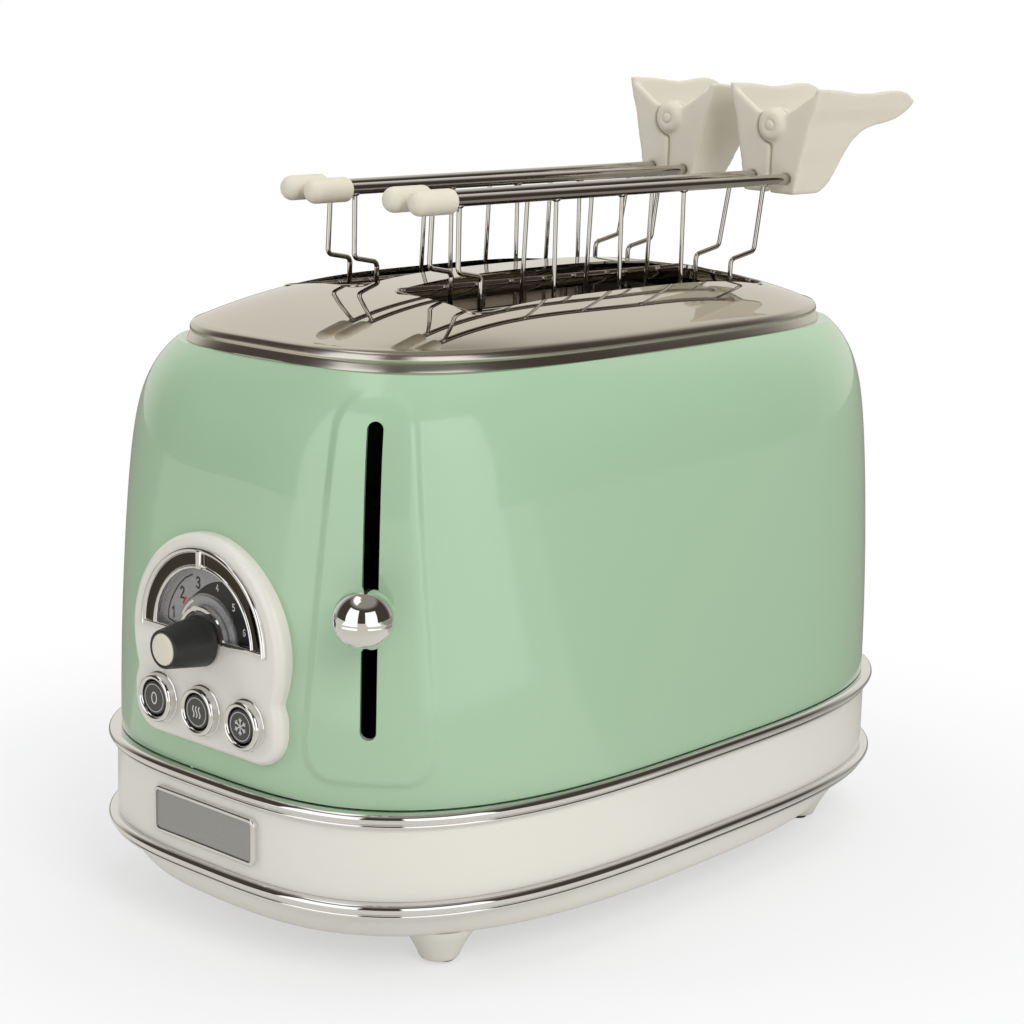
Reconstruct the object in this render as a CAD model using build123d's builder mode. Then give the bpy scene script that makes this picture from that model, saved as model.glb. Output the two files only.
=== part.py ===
from build123d import *
from math import cos, pi, radians, sin, tan
import os

os.makedirs("parts", exist_ok=True)

# Two-slot toaster with a pair of sandwich tongs standing in its slots.
# Millimetres. +Z is up and the origin is on the worktop, under the middle of
# the body. The slots run along Y, the control end faces -Y.

# Driving dimensions of the body
RING_HALF = (153.5, 100.0)  # lower chrome ring, half length along Y and half width along X
UPPER_RING_HALF = (151.5, 99.6)
SHELL_HALF = (148.8, 97.2)  # foot of the green shell
RIM_HALF = (126.2, 74.2)  # where the shell meets the steel plate
TRAY_HALF = (144.5, 92.5)
FOOT_HEIGHT = 12.0
TRAY_Z = 12.0
LOWER_RING_Z = 24.6
BAND_Z = 30.1
UPPER_RING_Z = 55.0
SHELL_Z = 60.5
RIM_Z = 198.0
LIP_HEIGHT = 5.0
CROWN_Z = 220.0
SHELL_WALL = 1.2
PLATE_WALL = 1.0
PLAN_POINTS = 40

# Bread slots
SLOT_X = 28.0
SLOT_WIDTH = 39.0
SLOT_LENGTH = 160.0
SLOT_Y = 6.0
SLOT_CORNER = 4.0

# Lever, on the corner between the control end and the right side
LEVER_POINT = (61.3, -134.3)
LEVER_ANGLE = 37.0
LEVER_SLOT_BOTTOM = 84.0
LEVER_SLOT_TOP = 185.0
LEVER_SLOT_WIDTH = 5.3
LEVER_Z = 126.0
BALL_RADIUS = 9.4
BALL_REACH = 13.0

# Control panel, on the middle of the control end
PANEL_Y = -151.0
PANEL_Z = 105.0
PANEL_RADIUS = 37.5
LOBE_HALF_WIDTH = 36.8
LOBE_BOTTOM = 69.5
LOBE_SHOULDER = 85.0
LOBE_CORNER = 12.0
WAIST_RADIUS = 4.0
PANEL_POINTS = 36
DIAL_Z = 107.0
DIAL_OUTER = 31.0
DIAL_INNER = 23.5
BUTTON_Z = 83.0
BUTTON_PITCH = 21.8
BUTTON_TRAVEL = 2.5

# Oven and chassis
PLATE_FRONT_Y = -92.0
PLATE_REAR_Y = 96.0
CHASSIS_Z = 60.5
OVEN_FLOOR_Z = 103.2
SHEET = 1.2

# Carriage, at the height where the photograph shows the lever
RACK_Z = 142.0
RACK_HEIGHT = 8.0
RACK_WIDTH = 4.0
GUIDE_ROD_Y = -104.0

# Tongs
TONG_SPOTS = {"right_tong": (28.0, 0.0), "left_tong": (-25.5, 3.5)}  # pin's X, shift along Y
TONG_LEAN = 1.5
TONG_SPLAY = 1.4
TONG_TOE_IN = 0.6
ROD_Z = 249.0
ROD_OFFSET = 8.0
ROD_RADIUS = 2.0
PIN_Z = 269.0
CAP_TIP_Y = -90.0
HANDLE_Y = 112.0
KINK_Z = 205.0


def plan_power(z):
    """Squareness of the plan outline, which grows a little with height."""
    return 2.8 + 0.7 * (z - LOWER_RING_Z) / (RIM_Z - LOWER_RING_Z)


def plan_outline(half, power):
    """Closed super-ellipse through evenly spread points, half is (along Y, along X)."""
    points = []
    for k in range(PLAN_POINTS):
        angle = pi / 2 + 2 * pi * k / PLAN_POINTS
        c = cos(angle)
        s = sin(angle)
        reach = (abs(c / half[1]) ** power + abs(s / half[0]) ** power) ** (-1 / power)
        points.append((reach * c, reach * s))
    Spline(*points, periodic=True)


def plan_sketch(z, half, inset=0.0):
    """Filled plan outline at height z, drawn in by inset."""
    with BuildSketch(Plane.XY.offset(z), mode=Mode.PRIVATE) as sketch:
        with BuildLine():
            plan_outline((half[0] - inset, half[1] - inset), plan_power(z))
        make_face()
    return sketch


def save(piece, name):
    piece.part.label = name
    export_step(piece.part, f"parts/{name}.step")


# Green body shell

SHELL_STATIONS = (0.0, 0.12, 0.24, 0.36, 0.48, 0.6, 0.7, 0.79, 0.86, 0.92, 0.96, 1.0)
CORE_STATIONS = (-0.03, *SHELL_STATIONS[1:-1], 1.02)


def shell_inset(t):
    """How far the wall has drawn in at fraction t of the shell's height."""
    return 9.0 * t**3 + 13.8 * t**12


def shell_sections(stations, offset):
    """Sketches of the shell's plan at each station, offset outward."""
    sections = []
    for t in stations:
        z = SHELL_Z + t * (RIM_Z - SHELL_Z)
        drawn = shell_inset(abs(t)) - offset
        sections.append(plan_sketch(z, SHELL_HALF, drawn).sketch)
    return sections


lever_plane = Plane(
    origin=(LEVER_POINT[0], LEVER_POINT[1], 0),
    x_dir=(cos(radians(LEVER_ANGLE)), sin(radians(LEVER_ANGLE)), 0),
    z_dir=(sin(radians(LEVER_ANGLE)), -cos(radians(LEVER_ANGLE)), 0),
)


def facing_plane(y):
    """Plane at depth y that faces the control end."""
    return Plane(origin=(0, y, 0), x_dir=(1, 0, 0), z_dir=(0, -1, 0))


def panel_outline(inset):
    """Right half of the panel outline: a disc over a wide lobe, with a soft waist."""
    lobe_side = LOBE_HALF_WIDTH - inset
    lobe_corner = LOBE_CORNER - inset
    lobe_top = Vector(LOBE_HALF_WIDTH - LOBE_CORNER, LOBE_SHOULDER)
    disc = Vector(0, PANEL_Z)
    span = (lobe_top - disc).length
    far = PANEL_RADIUS + WAIST_RADIUS
    near = LOBE_CORNER + WAIST_RADIUS
    along = (span**2 + far**2 - near**2) / (2 * span)
    aside = (far**2 - along**2) ** 0.5
    unit = (lobe_top - disc).normalized()
    waist = disc + unit * along + Vector(-unit.Y, unit.X) * aside
    on_disc = disc + (waist - disc).normalized() * (PANEL_RADIUS - inset)
    on_lobe = lobe_top + (waist - lobe_top).normalized() * lobe_corner
    crown = TangentArc((0, PANEL_Z + PANEL_RADIUS - inset), on_disc, tangent=(1, 0))
    neck = TangentArc(crown @ 1, on_lobe, tangent=crown % 1)
    shoulder = TangentArc(neck @ 1, (lobe_side, LOBE_SHOULDER), tangent=neck % 1)
    side = Line(shoulder @ 1, (lobe_side, LOBE_BOTTOM + LOBE_CORNER))
    foot = (LOBE_HALF_WIDTH - LOBE_CORNER, LOBE_BOTTOM + inset)
    corner = TangentArc(side @ 1, foot, tangent=(0, -1))
    Line(corner @ 1, (0, LOBE_BOTTOM + inset))


def panel_shape(inset=0.0, y=PANEL_Y):
    """Snowman-shaped sketch of the panel at depth y, its outline drawn as one smooth curve."""
    with BuildLine(mode=Mode.PRIVATE) as half:
        panel_outline(inset)
    wire = half.wires()[0]
    right = [wire @ (k / PANEL_POINTS) for k in range(PANEL_POINTS + 1)]
    left = [Vector(-p.X, p.Y) for p in reversed(right[1:-1])]
    with BuildSketch(facing_plane(y), mode=Mode.PRIVATE) as sketch:
        with BuildLine():
            Spline(*right, *left, periodic=True)
        make_face()
    return sketch


# Raised field round the lever slot: a tall bell, wider at its foot
FIELD_HALF_TOP = 13.5
FIELD_HALF_FOOT = 21.5
FIELD_TOP = 194.0
FIELD_FOOT = 69.0
FIELD_RAISE = 1.0

with BuildPart() as lever_field:
    loft(shell_sections(SHELL_STATIONS, FIELD_RAISE))
    with BuildSketch(lever_plane.offset(-32)):
        with BuildLine():
            Polyline(
                (-FIELD_HALF_FOOT, FIELD_FOOT),
                (FIELD_HALF_FOOT, FIELD_FOOT),
                (FIELD_HALF_TOP, FIELD_TOP),
                (-FIELD_HALF_TOP, FIELD_TOP),
                close=True,
            )
        field = make_face()
        fillet(field.vertices().group_by(Axis.Z)[-1], 13.2)
        fillet(field.vertices().group_by(Axis.Z)[0], 9)
    extrude(amount=60, mode=Mode.INTERSECT)

with BuildPart() as shell_solid:
    loft(shell_sections(SHELL_STATIONS, 0))

with BuildPart() as body_shell:
    add(shell_solid.part)
    add(lever_field.part)
    loft(shell_sections(CORE_STATIONS, -SHELL_WALL), mode=Mode.SUBTRACT)
    with BuildSketch(lever_plane.offset(-15)):
        with Locations((0, (LEVER_SLOT_BOTTOM + LEVER_SLOT_TOP) / 2)):
            SlotOverall(LEVER_SLOT_TOP - LEVER_SLOT_BOTTOM, LEVER_SLOT_WIDTH, rotation=90)
    extrude(amount=30, mode=Mode.SUBTRACT)
    extrude(panel_shape(inset=5).sketch, amount=-12, mode=Mode.SUBTRACT)
    with BuildSketch(Plane.XZ.offset(-156)):
        with Locations((0, 74)):
            Circle(6.1)
    extrude(amount=14, mode=Mode.SUBTRACT)
save(body_shell, "body_shell")

# Domed steel plate over the shell

def dome_drop(x, y):
    """Fall of the dome from its crown, as a fraction of the whole fall at the rim."""
    power = plan_power(RIM_Z)
    reach = abs(x / RIM_HALF[1]) ** power + abs(y / RIM_HALF[0]) ** power
    return reach ** (3 / power)


def dome_face(lowered):
    """Smooth dome surface over the whole plan, lowered by the given amount."""
    fall = CROWN_Z - RIM_Z - LIP_HEIGHT
    rows = []
    for i in range(17):
        x = (i - 8) / 8 * (RIM_HALF[1] + 3)
        row = []
        for j in range(21):
            y = (j - 10) / 10 * (RIM_HALF[0] + 3)
            row.append(Vector(x, y, CROWN_Z - lowered - fall * dome_drop(x, y)))
        rows.append(row)
    return Face.make_surface_from_array_of_points(rows)


def slot_sketch(z, grow=0.0):
    """Both bread slots at height z, grown outward."""
    with BuildSketch(Plane.XY.offset(z), mode=Mode.PRIVATE) as sketch:
        with Locations((-SLOT_X, SLOT_Y), (SLOT_X, SLOT_Y)):
            RectangleRounded(SLOT_WIDTH + 2 * grow, SLOT_LENGTH + 2 * grow, SLOT_CORNER + grow)
    return sketch


with BuildPart() as plate_core:
    extrude(to_extrude=dome_face(PLATE_WALL), amount=40, dir=(0, 0, -1))
    extrude(plan_sketch(RIM_Z, RIM_HALF, PLATE_WALL - 0.5).sketch, amount=40, mode=Mode.INTERSECT)

with BuildPart() as plate_solid:
    extrude(to_extrude=dome_face(0), amount=40, dir=(0, 0, -1))
    extrude(plan_sketch(RIM_Z, RIM_HALF, -0.5).sketch, amount=40, mode=Mode.INTERSECT)
    rim_edge = plate_solid.edges().filter_by(lambda e: e.length > 300).sort_by(Axis.Z)[-1]
    fillet(rim_edge, 2.4)

with BuildPart() as slot_collars:
    extrude(slot_sketch(CROWN_Z - 14, grow=0.8).sketch, amount=14)
    add(plate_solid.part, mode=Mode.INTERSECT)

with BuildPart() as top_plate:
    add(plate_solid.part)
    add(plate_core.part, mode=Mode.SUBTRACT)
    add(slot_collars.part)
    extrude(slot_sketch(RIM_Z).sketch, amount=30, mode=Mode.SUBTRACT)
save(top_plate, "top_plate")


# Chrome rings: a half-round bead over a thin lip

BEAD = 4.0
LIP = 1.5
SKIRT_INSET = 4.5


def bead_sections(z, half, height, steps):
    """Plan sketches up a half-round bead that stands out to the full plan size."""
    radius = height / 2
    sections = []
    for k in range(steps + 1):
        angle = pi * k / steps - pi / 2
        level = z + radius + radius * sin(angle)
        sections.append(plan_sketch(level, half, radius - radius * cos(angle)).sketch)
    return sections


def chrome_ring(z, half):
    with BuildPart() as ring:
        loft(bead_sections(z + LIP, half, BEAD, 6))
        extrude(plan_sketch(z, half, 1.4).sketch, amount=LIP)
        extrude(plan_sketch(z - 1, half, SKIRT_INSET).sketch, amount=BEAD + LIP + 2, mode=Mode.SUBTRACT)
    return ring


upper_chrome_ring = chrome_ring(UPPER_RING_Z, UPPER_RING_HALF)
lower_chrome_ring = chrome_ring(LOWER_RING_Z, RING_HALF)
save(upper_chrome_ring, "upper_chrome_ring")
save(lower_chrome_ring, "lower_chrome_ring")


# Cream band between the rings, with skirts that carry both rings

BAND_WALL = 8.0
SHELF_DEPTH = 24.0
DOOR_HALF_WIDTH = 60.0
DOOR_Z = (34.0, 51.0)
DOOR_GAP = 0.4

with BuildPart() as band_solid:
    loft([plan_sketch(BAND_Z, RING_HALF, 3).sketch, plan_sketch(UPPER_RING_Z, UPPER_RING_HALF, 2.8).sketch])

with BuildPart() as base_band:
    add(band_solid.part)
    extrude(
        plan_sketch(LOWER_RING_Z, RING_HALF, SKIRT_INSET + 0.1).sketch,
        amount=BAND_Z - LOWER_RING_Z + 0.1,
    )
    extrude(
        plan_sketch(UPPER_RING_Z - 0.1, UPPER_RING_HALF, SKIRT_INSET + 0.1).sketch,
        amount=SHELL_Z - UPPER_RING_Z + 0.1,
    )
    extrude(
        plan_sketch(LOWER_RING_Z - 1, RING_HALF, BAND_WALL + 0.4).sketch,
        amount=SHELL_Z - LOWER_RING_Z - 2,
        mode=Mode.SUBTRACT,
    )
    extrude(
        plan_sketch(LOWER_RING_Z, RING_HALF, SHELF_DEPTH).sketch,
        amount=SHELL_Z - LOWER_RING_Z + 1,
        mode=Mode.SUBTRACT,
    )
    with Locations((0, 150, (DOOR_Z[0] + DOOR_Z[1]) / 2)):
        Box(2 * DOOR_HALF_WIDTH, 60, DOOR_Z[1] - DOOR_Z[0], mode=Mode.SUBTRACT)
save(base_band, "base_band")


# Crumb tray: a sheet pan behind a cream front that closes the window in the band

PAN_HALF_WIDTH = 54.0
PAN_FRONT_Y = -80.0
PAN_REAR_Y = 133.0
PAN_Z = 36.0
PAN_DEPTH = 8.0
GRIP_Y = 143.0

with BuildPart() as crumb_tray_front:
    add(band_solid.part)
    extrude(plan_sketch(BAND_Z, RING_HALF, 6).sketch, amount=30, mode=Mode.SUBTRACT)
    with Locations((0, 150, (DOOR_Z[0] + DOOR_Z[1]) / 2)):
        Box(
            2 * (DOOR_HALF_WIDTH - DOOR_GAP),
            60,
            DOOR_Z[1] - DOOR_Z[0] - 2 * DOOR_GAP,
            mode=Mode.INTERSECT,
        )
    with Locations((0, (GRIP_Y + 148) / 2, PAN_Z + 2)):
        Box(40, 148 - GRIP_Y, 4)
    with BuildSketch(Plane.XY.offset(PAN_Z - 1)):
        with Locations((0, 149.5)):
            SlotOverall(46, 8)
    extrude(amount=2.5)
save(crumb_tray_front, "crumb_tray_front")

with BuildPart() as crumb_tray:
    with BuildSketch(Plane.XY.offset(PAN_Z)):
        with Locations((0, (PAN_FRONT_Y + PAN_REAR_Y) / 2)):
            RectangleRounded(2 * PAN_HALF_WIDTH, PAN_REAR_Y - PAN_FRONT_Y, 6)
    extrude(amount=PAN_DEPTH)
    with BuildSketch(Plane.XY.offset(PAN_Z + 1)):
        with Locations((0, (PAN_FRONT_Y + PAN_REAR_Y) / 2)):
            RectangleRounded(2 * PAN_HALF_WIDTH - 2, PAN_REAR_Y - PAN_FRONT_Y - 2, 5)
    extrude(amount=PAN_DEPTH, mode=Mode.SUBTRACT)
    with Locations((0, (PAN_REAR_Y - 1 + GRIP_Y) / 2, PAN_Z + 0.5)):
        Box(40, GRIP_Y - PAN_REAR_Y + 1, 1)
save(crumb_tray, "crumb_tray")


# Base tray: the dished underside, with vents, screw bosses, foot seats and pan rails

TRAY_WALL = 2.5
FOOT_AT = (64.0, 101.0)
SCREW_AT = (40.0, 122.0)
RAIL_X = 55.4

with BuildPart() as base_tray:
    loft(
        [
            plan_sketch(LOWER_RING_Z, RING_HALF, 3.4).sketch,
            plan_sketch(19.5, RING_HALF, 5.3).sketch,
            plan_sketch(15.0, TRAY_HALF).sketch,
            plan_sketch(TRAY_Z, TRAY_HALF, 7).sketch,
        ]
    )
    loft(
        [
            plan_sketch(LOWER_RING_Z + 0.1, RING_HALF, 6).sketch,
            plan_sketch(19.5, RING_HALF, 8).sketch,
            plan_sketch(TRAY_Z + TRAY_WALL, TRAY_HALF, 5).sketch,
        ],
        mode=Mode.SUBTRACT,
    )
    with Locations((0, 0, TRAY_Z)):
        with GridLocations(66, 34, 2, 4):
            Box(40, 4, 8, mode=Mode.SUBTRACT)
    with Locations((0, 0, TRAY_Z + TRAY_WALL)):
        with GridLocations(2 * SCREW_AT[0], 2 * SCREW_AT[1], 2, 2):
            Cylinder(4, 8, align=(Align.CENTER, Align.CENTER, Align.MIN))
    for side in (-1, 1):
        rail_height = PAN_Z + PAN_DEPTH + 1 - TRAY_Z - TRAY_WALL
        with Locations((side * (RAIL_X + 1), 20, TRAY_Z + TRAY_WALL + rail_height / 2)):
            Box(2, 200, rail_height)
        with Locations((side * (RAIL_X - 2.5), 20, PAN_Z - 1.1)):
            Box(5, 200, 2)
    with Locations((0, 0, TRAY_Z)):
        with GridLocations(2 * SCREW_AT[0], 2 * SCREW_AT[1], 2, 2):
            CounterBoreHole(1.6, 3.2, 2.2, depth=12)
save(base_tray, "base_tray")

with BuildPart() as base_screws:
    with GridLocations(2 * SCREW_AT[0], 2 * SCREW_AT[1], 2, 2):
        with Locations((0, 0, TRAY_Z + 0.4)):
            Cylinder(3, 1.8, align=(Align.CENTER, Align.CENTER, Align.MIN))
            Cylinder(1.55, 9, align=(Align.CENTER, Align.CENTER, Align.MIN))
save(base_screws, "base_screws")

with BuildPart() as feet:
    with GridLocations(2 * FOOT_AT[0], 2 * FOOT_AT[1], 2, 2):
        with Locations((0, 0, 1)):
            Cone(5.2, 9.6, FOOT_HEIGHT - 1, align=(Align.CENTER, Align.CENTER, Align.MIN))
    fillet(feet.edges().group_by(Axis.Z)[0], 1.2)
    with GridLocations(2 * FOOT_AT[0], 2 * FOOT_AT[1], 2, 2):
        with Locations((0, 0, 1.5)):
            Cylinder(3.6, 2, mode=Mode.SUBTRACT)
        with Locations((0, 0, FOOT_HEIGHT)):
            Cylinder(9.6, 2.3, align=(Align.CENTER, Align.CENTER, Align.MIN))
    add(base_tray.part, mode=Mode.SUBTRACT)
save(feet, "feet")

with BuildPart() as foot_pads:
    with GridLocations(2 * FOOT_AT[0], 2 * FOOT_AT[1], 2, 2):
        Cylinder(3.6, 2.5, align=(Align.CENTER, Align.CENTER, Align.MIN))
    fillet(foot_pads.edges().group_by(Axis.Z)[0], 0.4)
save(foot_pads, "foot_pads")


# Control panel

BEZEL_BACK_Y = -143.0
BOARD_Y = -132.0
RECESS_DEPTH = 3.0
BEZEL_EDGE = ((0.0, 1.8), (0.14, 1.1), (0.55, 0.5), (1.1, 0.15), (1.8, 0.0))  # (inset, depth) round the edge
DISC_RADIUS = 14.5
SHAFT_RADIUS = 3.0
BUTTON_RADIUS = 5.7
RUN_GAP = 0.05
button_spots = [(k * BUTTON_PITCH, BUTTON_Z) for k in (-1, 0, 1)]
post_spots = [(-17, 128), (17, 128), (-11, 76), (11, 76)]


def panel_disc(y, radius, spots, hole=0.0):
    """Discs or rings on the panel's axis direction, drawn at depth y."""
    with BuildSketch(facing_plane(y), mode=Mode.PRIVATE) as sketch:
        with Locations(*spots):
            Circle(radius)
            if hole:
                Circle(hole, mode=Mode.SUBTRACT)
    return sketch


def half_ring(y, outer, inner, foot=0.0):
    """Upper half of a ring round the dial's centre, standing foot above it."""
    with BuildSketch(facing_plane(y), mode=Mode.PRIVATE) as sketch:
        with Locations((0, DIAL_Z)):
            Circle(outer)
            Circle(inner, mode=Mode.SUBTRACT)
        with Locations((0, DIAL_Z + foot)):
            Rectangle(3 * outer, outer, align=(Align.CENTER, Align.MIN), mode=Mode.INTERSECT)
    return sketch


with BuildPart() as control_bezel:
    rounding = [panel_shape(inset, PANEL_Y + depth).sketch for inset, depth in BEZEL_EDGE]
    loft(rounding)
    extrude(panel_shape(y=PANEL_Y + BEZEL_EDGE[0][1]).sketch, amount=-7)
    add(shell_solid.part, mode=Mode.SUBTRACT)
    extrude(panel_shape(inset=5.4).sketch, amount=BEZEL_BACK_Y - PANEL_Y, dir=(0, 1, 0))
    extrude(panel_disc(PANEL_Y - 0.8, 11.6, [(0, DIAL_Z)]).sketch, amount=2, dir=(0, 1, 0))
    extrude(
        half_ring(PANEL_Y - 3, DIAL_OUTER + 0.1, 0.01).sketch,
        amount=3 + RECESS_DEPTH,
        dir=(0, 1, 0),
        mode=Mode.SUBTRACT,
    )
    extrude(
        panel_disc(PANEL_Y + 1.2, DISC_RADIUS + 0.5, [(0, DIAL_Z)]).sketch,
        amount=2,
        dir=(0, 1, 0),
        mode=Mode.SUBTRACT,
    )
    extrude(
        panel_disc(PANEL_Y - 3, SHAFT_RADIUS + RUN_GAP, [(0, DIAL_Z)]).sketch,
        amount=20,
        dir=(0, 1, 0),
        mode=Mode.SUBTRACT,
    )
    extrude(
        panel_disc(PANEL_Y - 3, BUTTON_RADIUS + 0.3, button_spots).sketch,
        amount=20,
        dir=(0, 1, 0),
        mode=Mode.SUBTRACT,
    )
    extrude(
        panel_disc(PANEL_Y + 4, 7.5, button_spots).sketch,
        amount=8,
        dir=(0, 1, 0),
        mode=Mode.SUBTRACT,
    )
    extrude(
        panel_disc(BEZEL_BACK_Y, 2.5, post_spots).sketch,
        amount=BOARD_Y - BEZEL_BACK_Y,
        dir=(0, 1, 0),
    )
save(control_bezel, "control_bezel")

with BuildPart() as dial_face:
    extrude(
        half_ring(PANEL_Y + RECESS_DEPTH - 0.6, DIAL_OUTER, DISC_RADIUS + 0.7, foot=0.2).sketch,
        amount=0.6,
        dir=(0, 1, 0),
    )
save(dial_face, "dial_face")

FRAME_FRONT_Y = PANEL_Y - 1.4
FRAME_BACK_Y = PANEL_Y + RECESS_DEPTH - 0.6
BAR_BACK_Y = PANEL_Y + 1.2

with BuildPart() as dial_frame:
    extrude(
        half_ring(FRAME_BACK_Y, DIAL_OUTER, DIAL_INNER, foot=0.2).sketch,
        amount=FRAME_BACK_Y - FRAME_FRONT_Y,
        dir=(0, -1, 0),
    )
    front_arcs = dial_frame.faces().sort_by(Axis.Y)[0].edges().filter_by(GeomType.CIRCLE)
    chamfer(front_arcs.sort_by(SortBy.LENGTH)[-1], 1.0)
    chamfer(dial_frame.faces().sort_by(Axis.Y)[0].edges().filter_by(GeomType.CIRCLE).sort_by(SortBy.LENGTH)[0], 2.6)
    with Locations((0, (BAR_BACK_Y + FRAME_FRONT_Y + 0.4) / 2, DIAL_Z + 0.2 + 0.8)):
        Box(2 * DIAL_OUTER - 3, BAR_BACK_Y - FRAME_FRONT_Y - 0.4, 1.6)
    extrude(
        half_ring(BAR_BACK_Y, 11.4, 9.4, foot=0.2).sketch,
        amount=BAR_BACK_Y - FRAME_FRONT_Y - 0.4,
        dir=(0, -1, 0),
    )
    with Locations((0, FRAME_FRONT_Y, DIAL_Z + (DIAL_OUTER + DIAL_INNER) / 2)):
        Box(2.4, 1.6, DIAL_OUTER - DIAL_INNER - 0.6)
    with BuildSketch(facing_plane(PANEL_Y - 4)):
        with Locations((0, DIAL_Z)):
            Circle(9.4)
    extrude(amount=6, dir=(0, 1, 0), mode=Mode.SUBTRACT)
save(dial_frame, "dial_frame")

with BuildPart() as pointer_disc:
    extrude(
        panel_disc(PANEL_Y + 1.6, DISC_RADIUS, [(0, DIAL_Z)], SHAFT_RADIUS).sketch,
        amount=0.8,
        dir=(0, 1, 0),
    )
save(pointer_disc, "pointer_disc")

KNOB_BASE_Y = PANEL_Y - 0.9
KNOB_FRONT_Y = -168.0

with BuildPart() as browning_knob:
    with BuildSketch(Plane.YZ):
        with BuildLine():
            Polyline(
                (KNOB_BASE_Y, DIAL_Z),
                (KNOB_BASE_Y, DIAL_Z + 8.6),
                (KNOB_BASE_Y - 2.0, DIAL_Z + 8.5),
                (KNOB_FRONT_Y, DIAL_Z + 6.5),
                (KNOB_FRONT_Y, DIAL_Z + 5.4),
                (KNOB_FRONT_Y + 0.8, DIAL_Z + 5.4),
                (KNOB_FRONT_Y + 0.8, DIAL_Z),
                close=True,
            )
        make_face()
    revolve(axis=Axis((0, 0, DIAL_Z), (0, 1, 0)))
    fillet(browning_knob.edges().filter_by(GeomType.CIRCLE).sort_by(SortBy.RADIUS)[2:3], 0.5)
    extrude(
        panel_disc(KNOB_BASE_Y, SHAFT_RADIUS, [(0, DIAL_Z)]).sketch,
        amount=12,
        dir=(0, -1, 0),
        mode=Mode.SUBTRACT,
    )
save(browning_knob, "browning_knob")

with BuildPart() as knob_cap:
    extrude(panel_disc(KNOB_FRONT_Y + 0.8, 5.3, [(0, DIAL_Z)]).sketch, amount=1.1, dir=(0, -1, 0))
    fillet(knob_cap.faces().sort_by(Axis.Y)[0].edges(), 0.4)
save(knob_cap, "knob_cap")

with BuildPart() as knob_shaft:
    extrude(
        panel_disc(KNOB_BASE_Y - 12, SHAFT_RADIUS, [(0, DIAL_Z)]).sketch,
        amount=BOARD_Y - 8.2 - KNOB_BASE_Y + 12,
        dir=(0, 1, 0),
    )
save(knob_shaft, "knob_shaft")

with BuildPart() as button_rings:
    extrude(
        panel_disc(PANEL_Y, 8.7, button_spots, BUTTON_RADIUS + 0.3).sketch,
        amount=3.6,
        dir=(0, -1, 0),
    )
    front_edges = button_rings.faces().filter_by(Axis.Y).group_by(Axis.Y)[0].edges()
    fillet(front_edges.filter_by(lambda e: e.radius > 7), 1.9)
    fillet(button_rings.edges().filter_by(lambda e: e.center().Y < -154 and e.radius < 7), 0.5)
save(button_rings, "button_rings")

for name, spot in zip(("cancel_button", "reheat_button", "defrost_button"), button_spots):
    with BuildPart() as button:
        extrude(panel_disc(PANEL_Y - 3.0, BUTTON_RADIUS, [spot]).sketch, amount=8.2, dir=(0, 1, 0))
        fillet(button.faces().sort_by(Axis.Y)[0].edges(), 0.6)
        extrude(panel_disc(PANEL_Y + 4.05, 7.2, [spot]).sketch, amount=1.2, dir=(0, 1, 0))
        extrude(
            panel_disc(PANEL_Y + 5, 2, [spot]).sketch,
            amount=BOARD_Y - 4.4 - BUTTON_TRAVEL - 0.2 - PANEL_Y - 5,
            dir=(0, 1, 0),
        )
    save(button, name)

with BuildPart() as circuit_board:
    with Locations((0, BOARD_Y + 0.8, 100)):
        Box(76, 1.6, 64)
save(circuit_board, "circuit_board")

with BuildPart() as browning_control:
    extrude(panel_disc(BOARD_Y, 8, [(0, DIAL_Z)]).sketch, amount=8.1, dir=(0, -1, 0))
save(browning_control, "browning_control")

with BuildPart() as board_components:
    with Locations(*[(x, BOARD_Y - 1.75, z) for x, z in button_spots]):
        Box(6, 3.5, 6)
    extrude(panel_disc(BOARD_Y - 3.5, 1.7, button_spots).sketch, amount=0.9, dir=(0, -1, 0))
    with Locations((-20, BOARD_Y + 1.6 + 8, 80)):
        Box(19, 16, 15)
    with Locations((22, BOARD_Y + 1.6 + 4, 118)):
        Box(14, 8, 10)
    for x, z, size in ((8, 78, 5), (8, 124, 4), (-12, 122, 4)):
        with BuildSketch(facing_plane(BOARD_Y + 1.6)):
            with Locations((x, z)):
                Circle(size)
        extrude(amount=-12)
save(board_components, "board_components")


# Framed blank badge on the front of the band

BADGE_Z = 43.0
BADGE_Y = -151.8
badge_plane = Plane(origin=(0, BADGE_Y, BADGE_Z), x_dir=(1, 0, 0), z_dir=(0, -1, 0))

with BuildPart() as badge_frame:
    with BuildSketch(badge_plane):
        RectangleRounded(51, 16.5, 2.6)
    extrude(amount=-5)
    fillet(badge_frame.faces().sort_by(Axis.Y)[0].edges(), 0.6)
    with BuildSketch(badge_plane):
        RectangleRounded(48.4, 13.9, 1.4)
    extrude(amount=-0.9, mode=Mode.SUBTRACT)
    add(band_solid.part, mode=Mode.SUBTRACT)
save(badge_frame, "badge_frame")

with BuildPart() as badge_plate:
    with BuildSketch(badge_plane.offset(-0.9)):
        RectangleRounded(48.3, 13.8, 1.4)
    extrude(amount=0.4)
save(badge_plate, "badge_plate")

GLAND_Z = 74.0
with BuildPart() as cord_gland:
    with BuildSketch(Plane.XZ.offset(-148.85)):
        with Locations((0, GLAND_Z)):
            Circle(8.5)
    extrude(amount=-2.6)
    fillet(cord_gland.faces().sort_by(Axis.Y)[-1].edges(), 0.8)
    with BuildSketch(Plane.XZ.offset(-143)):
        with Locations((0, GLAND_Z)):
            Circle(6)
    extrude(amount=-6)
    with BuildSketch(Plane.XZ.offset(-145)):
        with Locations((0, GLAND_Z)):
            Circle(8)
    extrude(amount=-2.3)
    with BuildSketch(Plane.XZ.offset(-142)):
        with Locations((0, GLAND_Z)):
            Circle(3.4)
    extrude(amount=-12, mode=Mode.SUBTRACT)
save(cord_gland, "cord_gland")


# Chassis and oven

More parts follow.
